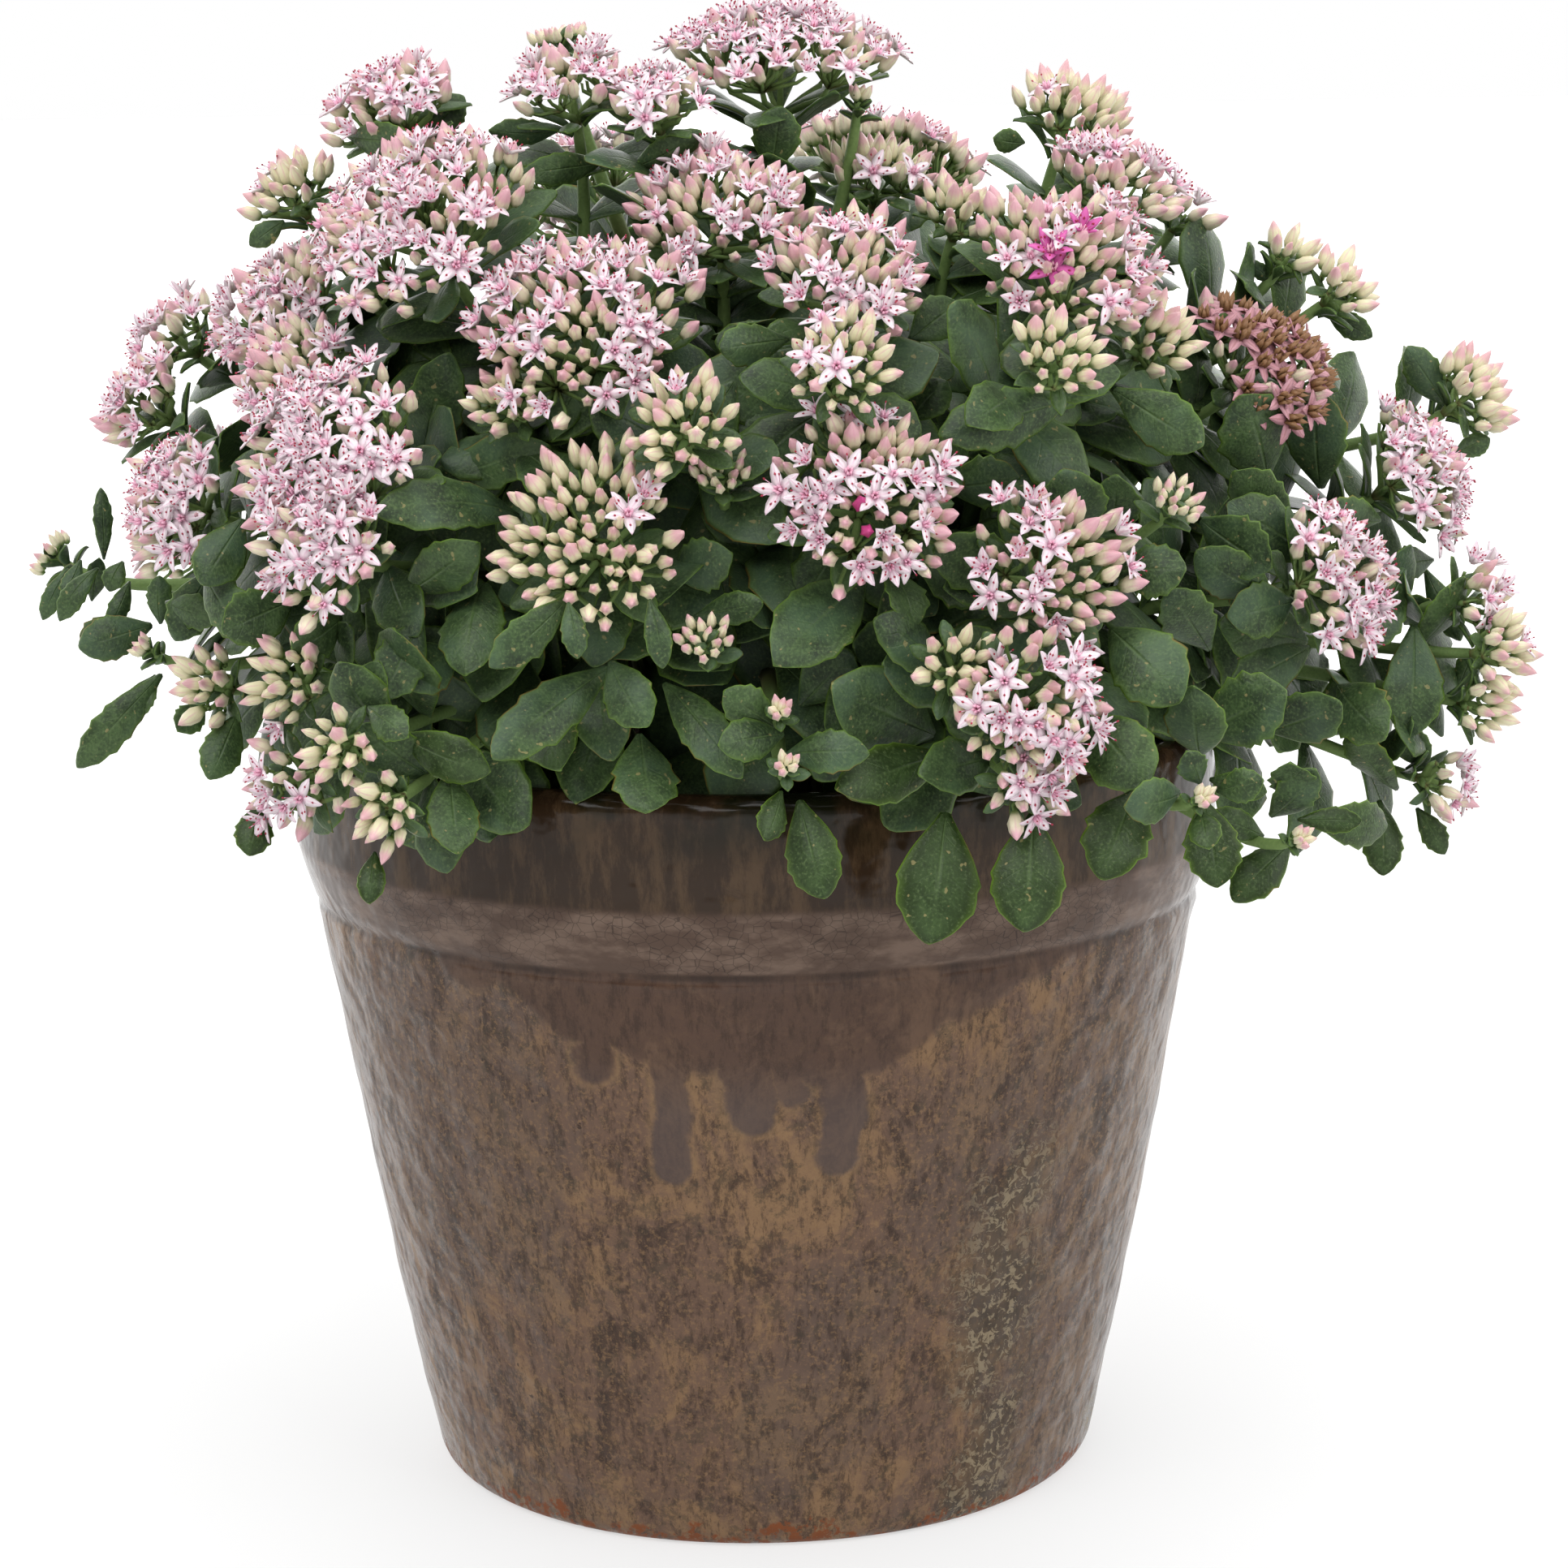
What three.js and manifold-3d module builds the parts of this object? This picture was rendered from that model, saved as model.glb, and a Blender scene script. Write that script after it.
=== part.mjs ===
import * as THREE from 'three'
import { ConvexGeometry } from 'three/addons/geometries/ConvexGeometry.js'
import { mergeVertices } from 'three/addons/utils/BufferGeometryUtils.js'
import Module from 'manifold-3d'

// A stonecrop in flower in a glazed pot. Millimetres, +Z up, pot axis on Z, front of the plant toward -Y.
const wasm = await Module()
wasm.setup()

const pot = {
  lip: 135, base: 98.4, crease: 129.9, creaseZ: 170.4, bandZ: 188.7, rimZ: 220,
  wall: 8, floor: 10, drain: 11, sides: 36
}
const soil = { top: 206, sides: 24 }
// Room left between pieces that touch, and the wider room that is cut round a head
const gap = 0.3
const room = 0.55
const tau = 2 * Math.PI

// Sight lines of the front view. A place in that view is given across and down, on a square 1932 wide.
const sight = {
  back: 1091.3, up: 404.3, pitch: 10.699 * Math.PI / 180, roll: 0.919 * Math.PI / 180,
  reach: 4648.8, middle: 931, half: 966
}
function seen (u, v, y) {
  const a = u - sight.middle
  const b = v - sight.half
  const c = Math.cos(sight.roll)
  const s = Math.sin(sight.roll)
  const across = (a * c - b * s) / sight.reach
  const up = -(a * s + b * c) / sight.reach
  const dy = Math.cos(sight.pitch) + up * Math.sin(sight.pitch)
  const dz = -Math.sin(sight.pitch) + up * Math.cos(sight.pitch)
  const t = (sight.back + y) / dy
  return new THREE.Vector3(across * t, y, sight.up + dz * t)
}
// Real length of something w across in the view at depth y
const viewSize = (w, y) => w / 4.22 * (sight.back + y) / sight.back

// Even random numbers from 0 to 1, the same on each run
let state = 7
function rnd () {
  state = (state * 1664525 + 1013904223) % 4294967296
  return state / 4294967296
}
const V = (x, y, z) => new THREE.Vector3(x, y, z)

// Closed solid out of points and triangles
function solid (points, tris) {
  const g = new THREE.BufferGeometry()
  g.setAttribute('position', new THREE.Float32BufferAttribute(points.flatMap(p => [p.x, p.y, p.z]), 3))
  g.setIndex(tris.flat())
  return fromGeometry(g)
}
function fromGeometry (geometry) {
  const g = geometry.clone()
  for (const name of Object.keys(g.attributes)) {
    if (name !== 'position') g.deleteAttribute(name)
  }
  const m = mergeVertices(g, 1e-3)
  const index = Array.from(m.index.array)
  const keep = []
  for (let i = 0; i < index.length; i += 3) {
    const [a, b, c] = index.slice(i, i + 3)
    if (a !== b && b !== c && a !== c) keep.push(a, b, c)
  }
  const vertProperties = new Float32Array(m.attributes.position.array)
  const mesh = new wasm.Mesh({ numProp: 3, vertProperties, triVerts: new Uint32Array(keep) })
  const out = new wasm.Manifold(mesh)
  return out.volume() < 0 ? fromGeometry(flip(m)) : out
}
function flip (g) {
  const i = g.index.array
  for (let k = 0; k < i.length; k += 3) [i[k], i[k + 1]] = [i[k + 1], i[k]]
  return g
}
const union = list => wasm.Manifold.union(list)
// Loose scraps are dropped: the largest body stays.
const largest = manifold => manifold.decompose().sort((a, b) => b.volume() - a.volume())[0]

// Solid turned about Z from a closed outline of radius and height
function turned (outline, count) {
  const points = []
  const tris = []
  const rows = outline.map(([r, z]) => {
    const sides = r < 1e-6 ? 1 : count
    return Array.from({ length: sides }, (_, k) => {
      points.push(V(r * Math.cos(tau * k / count), r * Math.sin(tau * k / count), z))
      return points.length - 1
    })
  })
  rows.forEach((p, i) => {
    const q = rows[(i + 1) % rows.length]
    if (p.length === 1 && q.length === 1) return
    for (let k = 0; k < count; k++) {
      const j = (k + 1) % count
      if (p.length === 1) tris.push([p[0], q[j], q[k]])
      else if (q.length === 1) tris.push([p[k], p[j], q[0]])
      else tris.push([p[k], p[j], q[j]], [p[k], q[j], q[k]])
    }
  })
  return solid(points, tris)
}
// Two axes across a direction, and the direction itself
function basis (n) {
  const z = n.clone().normalize()
  const x = (Math.abs(z.z) < 0.9 ? V(0, 0, 1) : V(0, 1, 0)).cross(z).normalize()
  return [x, z.clone().cross(x), z]
}
const place = (c, f, a, b, h) =>
  c.clone().addScaledVector(f[0], a).addScaledVector(f[1], b).addScaledVector(f[2], h)

// Tube through the points of a path, its radius running from r0 to r1, with flat ends
function tube (path, r0, r1, sides) {
  const points = []
  const tris = []
  const n = path.length
  path.forEach((c, i) => {
    const f = basis(path[Math.min(i + 1, n - 1)].clone().sub(path[Math.max(i - 1, 0)]))
    const r = r0 + (r1 - r0) * i / (n - 1)
    for (let k = 0; k < sides; k++) {
      points.push(place(c, f, r * Math.cos(tau * k / sides), r * Math.sin(tau * k / sides), 0))
    }
  })
  for (let i = 0; i + 1 < n; i++) {
    for (let k = 0; k < sides; k++) {
      const a = i * sides + k
      const b = i * sides + (k + 1) % sides
      tris.push([a, b, b + sides], [a, b + sides, a + sides])
    }
  }
  const end = (n - 1) * sides
  for (let k = 1; k + 1 < sides; k++) tris.push([0, k + 1, k], [end, end + k, end + k + 1])
  return solid(points, tris)
}

// Fleshy blade with two blunt teeth a side. Half of its outline: share of the length, share of the width.
const bladeSide = [[0.32, 0.37], [0.6, 0.5], [0.72, 0.41], [0.84, 0.36]]
const bladeRib = [0.36, 0.74]
const leafShape = { bend: 0.05, fold: -0.1, thick: 2.4, neck: 0.9, collar: 1.2, stub: 1.2 }
// A leaf runs from foot to tip, with across as the way of its width. Its neck goes on to its root, if any.
function blade (leaf, thick = leafShape.thick, wider = 0) {
  const { foot, tip, across, width, fold, root } = leaf
  const d = tip.clone().sub(foot)
  const len = d.length()
  d.normalize()
  const x = across.clone().addScaledVector(d, -across.dot(d)).normalize()
  const n = x.clone().cross(d).normalize()
  const at = (s, w, h) => foot.clone().addScaledVector(d, s * len).addScaledVector(x, w * width)
    .addScaledVector(n, h + leafShape.bend * len * 4 * s * (1 - s) + fold * width * Math.abs(w))
  const start = root || foot.clone().addScaledVector(d, -leafShape.stub)
  const half = side => [
    start.clone().addScaledVector(x, side * (leafShape.neck + wider)),
    ...(root ? [at(0, side * (leafShape.collar + wider) / width, 0)] : []),
    ...bladeSide.map(([s, w]) => at(s, side * w, 0))
  ]
  const ring = [...half(1), at(1, 0, 0), ...half(-1).reverse()]
  const count = ring.length
  const rib = [...(root ? [[0, 1 + wider]] : []), ...bladeRib.map(s => [s, thick / 2])]
  const points = [...ring, ...rib.map(([s, h]) => at(s, 0, h)), ...rib.map(([s, h]) => at(s, 0, -h))]
  // each rib point owns the margin beside it, from its own turn to the next
  const turns = root ? [0, 1, 3] : [0, 2]
  const owner = k => turns.filter(t => k >= t).length - 1
  const r = rib.length
  const tris = []
  for (let k = 0; k < count; k++) {
    const j = (k + 1) % count
    const own = k === count - 1 ? 0 : owner(k < count / 2 - 0.5 ? k : count - 2 - k)
    tris.push([count + own, k, j], [count + r + own, j, k])
  }
  for (let i = 1; i < r; i++) {
    const t = turns[i]
    const m = count - 1 - t
    const a = count + i - 1
    const c = count + r + i - 1
    tris.push([a, t, a + 1], [c, c + 1, t], [a, a + 1, m], [c, m, c + 1])
  }
  return solid(points, tris)
}
// The same leaf with room round it, for cutting its neighbours
function roomyBlade (leaf, grow) {
  const d = leaf.tip.clone().sub(leaf.foot).normalize()
  const width = leaf.width + 2 * grow + 1
  return blade({
    ...leaf,
    foot: leaf.root ? leaf.foot : leaf.foot.clone().addScaledVector(d, -3),
    tip: leaf.tip.clone().addScaledVector(d, 1.2),
    width,
    fold: leaf.fold * leaf.width / width
  }, leafShape.thick + 5 * grow, 1.5 * grow)
}

// Ten points round a middle, every second one drawn in, between a top and a bottom point
function prongs (c, f, r, turn, outer, inner, top, bottom) {
  const points = []
  for (let k = 0; k < 10; k++) {
    const [q, h] = k % 2 ? inner : outer
    const a = turn + tau * k / 10
    points.push(place(c, f, q * r * Math.cos(a), q * r * Math.sin(a), h * r))
  }
  points.push(place(c, f, 0, 0, top), place(c, f, 0, 0, bottom))
  return points
}
// Open star of five petals
function star (c, f, r, turn) {
  const points = prongs(c, f, r, turn, [1, 0.14], [0.36, 0.4 / r], 1.8, -5)
  const tris = []
  for (let k = 0; k < 10; k++) tris.push([10, k, (k + 1) % 10])
  for (let k = 0; k < 10; k += 2) tris.push([(k + 1) % 10, k, (k + 9) % 10], [11, (k + 1) % 10, (k + 9) % 10])
  return solid(points, tris)
}
// Green tip: five short prongs that stand up and out
function sprig (c, f, r, turn) {
  const points = prongs(c, f, r, turn, [0.85, 0.75], [0.4, 0.35], 0.6 * r, -1.5)
  const tris = []
  for (let k = 0; k < 10; k++) tris.push([10, k, (k + 1) % 10], [11, (k + 1) % 10, k])
  return solid(points, tris)
}

// Flower heads: across and down in the front view, width there, depth y, kind, lean of the face up or down.
// Kinds: o open florets, m open with buds, b buds, s spent. Parts of one head share a name.
const heads = [
  ['head_01', 962, 58, 262, -15, 'o', 0.6], ['head_02', 700, 92, 150, -50, 'o', 0.5],
  ['head_02', 808, 112, 120, -58, 'o', 0.3], ['head_03', 478, 118, 165, -40, 'm', 0.2],
  ['head_04', 352, 222, 118, -25, 'b', 0.2], ['head_05', 1325, 125, 140, -20, 'b', 0.3],
  ['head_06', 1085, 198, 135, -10, 'b', 0.2], ['head_07', 515, 262, 285, -84, 'o', 0],
  ['head_08', 885, 250, 215, -72, 'm', 0], ['head_09', 1045, 340, 200, -118, 'm', 0],
  ['head_10', 1040, 442, 145, -150, 'b', -0.1], ['head_11', 1187, 250, 112, -50, 'b', 0.1],
  ['head_12', 1320, 315, 230, -108, 'o', 0], ['head_13', 1312, 436, 125, -146, 'b', -0.1],
  ['head_14', 1428, 408, 120, -98, 'b', 0], ['head_15', 1380, 212, 170, -52, 'm', 0.1],
  ['head_48', 1466, 250, 78, -8, 'o', 0.1], ['head_16', 712, 395, 275, -118, 'o', 0],
  ['head_17', 842, 515, 140, -152, 'b', 0], ['head_18', 620, 487, 105, -124, 'b', 0],
  ['head_19', 335, 375, 195, -50, 'o', 0], ['head_20', 352, 455, 165, -88, 'm', 0],
  ['head_21', 402, 560, 255, -122, 'o', -0.1], ['head_22', 392, 680, 180, -140, 'o', -0.2],
  ['head_23', 205, 402, 118, -5, 'o', 0.1], ['head_23', 165, 490, 135, -22, 'm', 0],
  ['head_24', 206, 612, 165, -70, 'o', -0.1], ['head_25', 245, 845, 105, -85, 'b', -0.1],
  ['head_26', 345, 838, 118, -122, 'b', -0.1], ['head_27', 408, 922, 104, -156, 'b', -0.2],
  ['head_28', 350, 975, 130, -125, 'o', -0.4], ['head_29', 466, 1002, 108, -158, 'b', -0.4],
  ['head_30', 722, 655, 235, -152, 'b', 0.1], ['head_31', 1070, 610, 232, -152, 'm', -0.1],
  ['head_32', 1303, 695, 205, -150, 'm', 0], ['head_33', 1278, 875, 195, -172, 'o', -0.2],
  ['head_33', 1186, 822, 115, -168, 'b', -0.1], ['head_49', 1270, 978, 108, -170, 'o', -0.4],
  ['head_34', 1655, 710, 185, -96, 'o', -0.1], ['head_35', 1758, 580, 185, -38, 'o', 0],
  ['head_36', 1825, 478, 125, -12, 'b', 0.1], ['head_37', 1598, 300, 76, -22, 'b', 0.3],
  ['head_37', 1664, 345, 96, -28, 'b', 0], ['head_38', 1566, 442, 200, -56, 's', 0],
  ['head_39', 1838, 735, 105, -56, 'm', -0.1], ['head_39', 1862, 805, 110, -66, 'b', -0.2],
  ['head_50', 1842, 872, 96, -66, 'b', -0.3], ['head_40', 1792, 970, 105, -66, 'o', -0.3]
]
// Heads of the sides and the back: x, y, z, width in millimetres, kind
const backHeads = [
  ['head_41', -96, 152, 292, 60, 'o'], ['head_42', -26, 165, 266, 62, 'm'], ['head_43', 62, 157, 294, 60, 'o'],
  ['head_44', 140, 117, 278, 60, 'm'],
  ['head_45', -52, 104, 366, 62, 'o'], ['head_46', 44, 96, 372, 64, 'm'], ['head_47', -172, 78, 272, 54, 'o']
]
// Small green tips that stay with their leafy stem: across, down, width, depth
const tips = [
  [890, 585, 95, -140], [66, 684, 88, 32], [180, 800, 62, -40], [870, 790, 92, -158], [968, 945, 66, -170],
  [1450, 618, 98, -128], [1478, 985, 46, -165], [1598, 1035, 46, -148], [690, 48, 92, -12], [1058, 122, 62, -20],
  [960, 878, 52, -165]
]
// Leaves seen in front: foot across and down, tip across and down, width there, depth of foot and tip
const leaves = [
  [1165, 1000, 1146, 1162, 104, -152, -166], [1274, 1000, 1262, 1145, 92, -158, -172],
  [985, 985, 1014, 1106, 70, -158, -170], [1398, 975, 1358, 1080, 86, -150, -166],
  [1482, 985, 1502, 1092, 74, -150, -160], [552, 950, 562, 1050, 66, -140, -158],
  [462, 1050, 455, 1114, 36, -146, -154], [788, 905, 800, 1002, 84, -140, -160],
  [1165, 930, 1036, 972, 74, -140, -166], [752, 822, 612, 922, 74, -140, -168],
  [818, 842, 912, 952, 62, -140, -162], [1150, 905, 1026, 848, 112, -130, -158],
  [1064, 715, 958, 812, 96, -132, -160], [1085, 700, 1128, 770, 66, -140, -152],
  [1262, 700, 1154, 684, 80, -132, -146], [1372, 705, 1458, 700, 78, -132, -142],
  [1368, 775, 1452, 856, 96, -140, -160], [1340, 880, 1412, 968, 92, -148, -166],
  [1560, 592, 1534, 488, 96, -60, -78], [1628, 602, 1620, 480, 78, -40, -52],
  [1322, 665, 1306, 578, 96, -112, -130], [1372, 655, 1378, 582, 66, -108, -122],
  [1315, 495, 1164, 536, 74, -120, -142], [1372, 480, 1482, 550, 72, -112, -122],
  [640, 638, 470, 622, 76, -112, -140], [518, 585, 552, 434, 72, -78, -92],
  [515, 600, 680, 548, 62, -100, -118], [500, 730, 588, 668, 66, -120, -140],
  [520, 760, 470, 862, 66, -128, -140], [832, 708, 896, 684, 118, -130, -142],
  [700, 735, 602, 822, 56, -158, -168], [752, 815, 792, 892, 66, -150, -164],
  [700, 742, 712, 812, 34, -168, -174], [800, 738, 818, 822, 34, -166, -172],
  [972, 418, 886, 430, 54, -118, -128], [1120, 420, 1182, 372, 58, -108, -104],
  [950, 212, 962, 132, 60, -34, -40], [610, 218, 662, 168, 40, -20, -22],
  [690, 160, 604, 162, 34, -42, -52], [742, 200, 640, 214, 40, -45, -60],
  [780, 205, 860, 168, 40, -50, -62], [1262, 175, 1224, 170, 60, -30, -34],
  [430, 168, 502, 176, 46, -44, -60], [520, 170, 572, 118, 42, -30, -28],
  [350, 272, 308, 302, 30, -30, -34], [1480, 905, 1582, 852, 92, -128, -142],
  [1480, 930, 1470, 852, 78, -138, -152], [1452, 975, 1386, 992, 60, -158, -172],
  [1478, 965, 1462, 926, 40, -160, -166], [1500, 975, 1558, 962, 44, -156, -164],
  [1480, 1000, 1490, 1048, 42, -160, -170], [1600, 985, 1590, 938, 60, -128, -140],
  [1612, 1008, 1718, 1020, 62, -130, -120], [1590, 1040, 1522, 1104, 58, -132, -144],
  [1650, 845, 1704, 906, 78, -80, -100], [1742, 770, 1738, 908, 76, -58, -70],
  [1700, 985, 1706, 1078, 52, -60, -70], [1610, 790, 1512, 772, 84, -80, -98],
  [1592, 742, 1512, 760, 70, -94, -106], [1620, 690, 1522, 622, 78, -80, -92],
  [1560, 900, 1652, 868, 74, -96, -112], [1700, 500, 1748, 520, 46, -10, -14],
  [1782, 500, 1736, 432, 46, -8, -16], [1578, 352, 1535, 322, 20, -16, -20],
  [1632, 380, 1690, 416, 32, -16, -20], [200, 830, 94, 945, 50, -20, -30],
  [150, 760, 100, 802, 48, 0, -8], [255, 700, 312, 792, 62, -80, -98],
  [205, 742, 262, 762, 44, -50, -62], [292, 880, 258, 962, 52, -84, -96],
  [322, 990, 306, 1052, 48, -110, -120], [455, 872, 500, 906, 46, -150, -162],
  [495, 905, 602, 952, 62, -138, -150], [440, 905, 468, 812, 52, -132, -138],
  [965, 905, 884, 918, 56, -158, -172], [968, 930, 1064, 925, 56, -158, -170],
  [955, 895, 892, 852, 56, -156, -164], [962, 975, 940, 1036, 42, -164, -174],
  [985, 870, 1050, 800, 70, -128, -136], [855, 760, 942, 742, 42, -140, -150],
  [1130, 790, 1060, 800, 72, -124, -138], [1160, 600, 1258, 588, 66, -112, -122],
  [1120, 520, 1168, 470, 66, -112, -112], [985, 520, 905, 556, 74, -108, -126],
  [1490, 800, 1440, 722, 70, -110, -128], [122, 700, 70, 762, 34, 8, 2],
  [600, 720, 570, 820, 84, -118, -142], [660, 860, 690, 948, 76, -126, -148],
  [560, 800, 500, 840, 70, -120, -138], [905, 690, 948, 770, 74, -118, -140],
  [905, 470, 850, 560, 74, -118, -128], [760, 560, 800, 640, 72, -118, -136],
  [640, 560, 700, 610, 72, -112, -128], [1200, 780, 1150, 850, 80, -124, -140],
  [1010, 480, 1060, 560, 70, -118, -132], [1230, 560, 1280, 640, 80, -112, -128],
  [1480, 640, 1560, 700, 80, -96, -110], [420, 760, 360, 800, 70, -110, -122],
  [300, 640, 250, 720, 64, -84, -96]
]

// Leafy bunches, one for each slice round the pot: a slim dense core carries stems and blades that stand out.
const slices = 8
const squash = 0.86
const crown = { out: 66, radius: 6, deep: 8, room: 0.5, sides: 6 }
const coreLine = [
  [100, 206.6], [100, 224], [130, 227], [143, 250], [141, 284], [120, 314], [84, 338], [40, 350], [0, 353]
]
const coreTop = coreLine[coreLine.length - 1][1]
const greens = Array.from({ length: slices }, (_, k) => {
  const turn = tau * (k + 0.5) / slices
  const foot = V(crown.out * Math.cos(turn), crown.out * Math.sin(turn) * squash, soil.top)
  return { turn, crown: foot, bits: [] }
})
function bunchAt (p) {
  const turn = Math.floor(Math.atan2(p.y / squash, p.x) / tau * slices)
  return greens[(turn + slices) % slices]
}
function coreRadius (z) {
  if (z <= coreLine[0][1] || z >= coreTop) return 0
  const i = coreLine.findIndex(([, high]) => z <= high)
  const [r0, z0] = coreLine[i - 1]
  const [r1, z1] = coreLine[i]
  return r0 + (r1 - r0) * (z - z0) / (z1 - z0)
}
const inCore = (p, depth) => Math.hypot(p.x, p.y / squash) < coreRadius(p.z) - depth
// Steps from a place along a way until it is inside the core
function toCore (p, way, far, depth) {
  const d = way.clone().normalize()
  for (let s = 0; s <= far; s += 1.5) {
    const q = p.clone().addScaledVector(d, s)
    if (inCore(q, depth)) return q
  }
  return null
}
// One slice of the core, drawn in from its neighbours by the gap, or grown by some room for cutting
function slice (k, grow) {
  const turn = greens[k].turn
  const half = Math.PI / slices
  const cols = 4
  const shift = (gap - grow) / Math.sin(half)
  const wider = grow * (1 + 1.15 / Math.sin(half))
  const middle = V(shift * Math.cos(turn), shift * Math.sin(turn), 0)
  const at = (r, a, z) => V(r * Math.cos(a), r * Math.sin(a) * squash, z).add(middle)
  const rows = coreLine.length - 1
  const points = []
  const tris = []
  for (let i = 0; i < rows; i++) {
    for (let c = 0; c <= cols; c++) {
      const wave = c === 0 || c === cols || i < 2 ? 1 : 1 + 0.03 * Math.sin(7 * i + 5 * c + k)
      const drop = i === 0 || i === 2 ? grow : 0
      points.push(at(coreLine[i][0] * wave + wider, turn - half + 2 * half * c / cols, coreLine[i][1] - drop))
    }
  }
  const low = points.length
  const top = low + 1
  points.push(at(0, turn, coreLine[0][1] - grow), at(0, turn, coreTop + grow))
  const n = cols + 1
  for (let i = 0; i + 1 < rows; i++) {
    for (let c = 0; c < cols; c++) {
      const a = i * n + c
      tris.push([a, a + 1, a + n + 1], [a, a + n + 1, a + n])
    }
    tris.push([i * n, (i + 1) * n, low], [(i + 1) * n + cols, i * n + cols, low])
  }
  for (let c = 0; c < cols; c++) tris.push([(rows - 1) * n + c, (rows - 1) * n + c + 1, top], [c + 1, c, low])
  tris.push([(rows - 1) * n, top, low], [top, (rows - 1) * n + cols, low])
  return solid(points, tris)
}

// One head: a low dome whose every facet is drawn out to a bud, with open stars over its middle
const plantMiddle = V(0, 0, 180)
const dome = { rise: 0.34, outer: 0.84, inner: 0.56, heart: 0.24, under: 0.2, bud: 8.4, star: 8.6 }
const headSolids = new Map()
function growHead (name, c, n, width, kind) {
  const r = width / 2
  const f = basis(n)
  const budsOnly = kind === 'b'
  const half = Math.max(3, Math.round(r / (budsOnly ? 5 : 6.2)))
  const count = 2 * half
  const turn = rnd() * tau
  const bud = Math.min(dome.bud, 0.4 * r)
  const at = (q, a, h) =>
    place(c, f, q * r * Math.cos(turn + a), q * r * Math.sin(turn + a), dome.rise * r * (1 - q * q) + h)
  const out = (q, a) => place(V(0, 0, 0), f, q * Math.cos(turn + a), q * Math.sin(turn + a), 1).normalize()
  const turnOf = k => tau * k / count
  const points = []
  const tris = []
  for (let k = 0; k < count; k++) points.push(at(dome.outer, turnOf(k), -1.5))
  for (let k = 0; k < count; k++) points.push(at(dome.inner, turnOf(k), -1))
  const drawOut = (loop, q, a, len, lean) => {
    const apex = points.length
    points.push(at(q, a, 0).addScaledVector(out(lean * q, a), len))
    loop.forEach((v, i) => tris.push([v, loop[(i + 1) % loop.length], apex]))
  }
  for (let k = 0; k < count; k++) {
    const j = (k + 1) % count
    drawOut([k, j, count + j, count + k], 0.82, turnOf(k + 0.5), bud * (0.85 + 0.25 * rnd()), 0.8)
  }
  const inner = points.length
  if (budsOnly) {
    for (let k = 0; k < half; k++) points.push(at(dome.heart, turnOf(2 * k), -0.5))
    for (let k = 0; k < half; k++) {
      const j = (k + 1) % half
      const a = count + 2 * k
      const loop = [a, a + 1, count + (2 * k + 2) % count, inner + j, inner + k]
      drawOut(loop, 0.42, turnOf(2 * k + 1), bud * (0.9 + 0.25 * rnd()), 0.6)
    }
    drawOut(Array.from({ length: half }, (_, k) => inner + k), 0, 0, bud, 0)
  } else {
    points.push(at(0, 0, -0.5))
    for (let k = 0; k < count; k++) tris.push([count + k, count + (k + 1) % count, inner])
  }
  const under = points.length
  points.push(place(c, f, 0, 0, -dome.under * r))
  for (let k = 0; k < count; k++) tris.push([(k + 1) % count, k, under])
  const parts = [solid(points, tris)]
  if (!budsOnly) {
    const ring = r > 27 ? 5 : r > 14 ? 4 : 0
    const q0 = Math.min(0.48, 16.5 / r)
    const size = ring ? Math.min(dome.star, q0 * r * Math.sin(Math.PI / ring) * 0.97, q0 * r * 0.55) : 7
    for (let k = 0; k <= ring; k++) {
      const a = k * tau / Math.max(ring, 1)
      const q = k ? q0 : 0
      parts.push(star(at(q, a, 3 + (k % 2)), basis(out(0.7 * q, a)), size, rnd() * tau))
    }
  }
  if (!headSolids.has(name)) headSolids.set(name, { kind, parts: [], heads: [] })
  headSolids.get(name).parts.push(...parts)
  headSolids.get(name).heads.push({ c, n: f[2], r })
}
for (const [name, u, v, w, y, kind, lean] of heads) {
  const c = seen(u, v, y)
  const n = c.clone().sub(plantMiddle).normalize().add(V(0, 0, lean)).normalize()
  growHead(name, c.addScaledVector(n, -4), n, viewSize(w, y) * 0.96, kind)
}
for (const [name, x, y, z, w, kind] of backHeads) {
  const c = V(x, y, z)
  growHead(name, c, c.clone().sub(plantMiddle).normalize(), w, kind)
}

// Plain eight-sided block round a head, with some room about it: shares of the radius, and heights
function block (head, grow) {
  const f = basis(head.n)
  const r = head.r + grow
  const rings = [
    [0.5, -dome.under * head.r - (grow ? gap : 0.01)],
    [1.08, -Math.min(2.5, dome.under * head.r - gap) - grow],
    [1.12, 0.2 * head.r + 3 + grow],
    [0.62, dome.rise * head.r + 8 + grow]
  ]
  const points = rings.flatMap(([q, h]) => Array.from({ length: 8 }, (_, k) =>
    place(head.c, f, q * r * Math.cos(k * tau / 8), q * r * Math.sin(k * tau / 8), h)))
  return fromGeometry(new ConvexGeometry(points))
}

const object = new THREE.Group()
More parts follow.
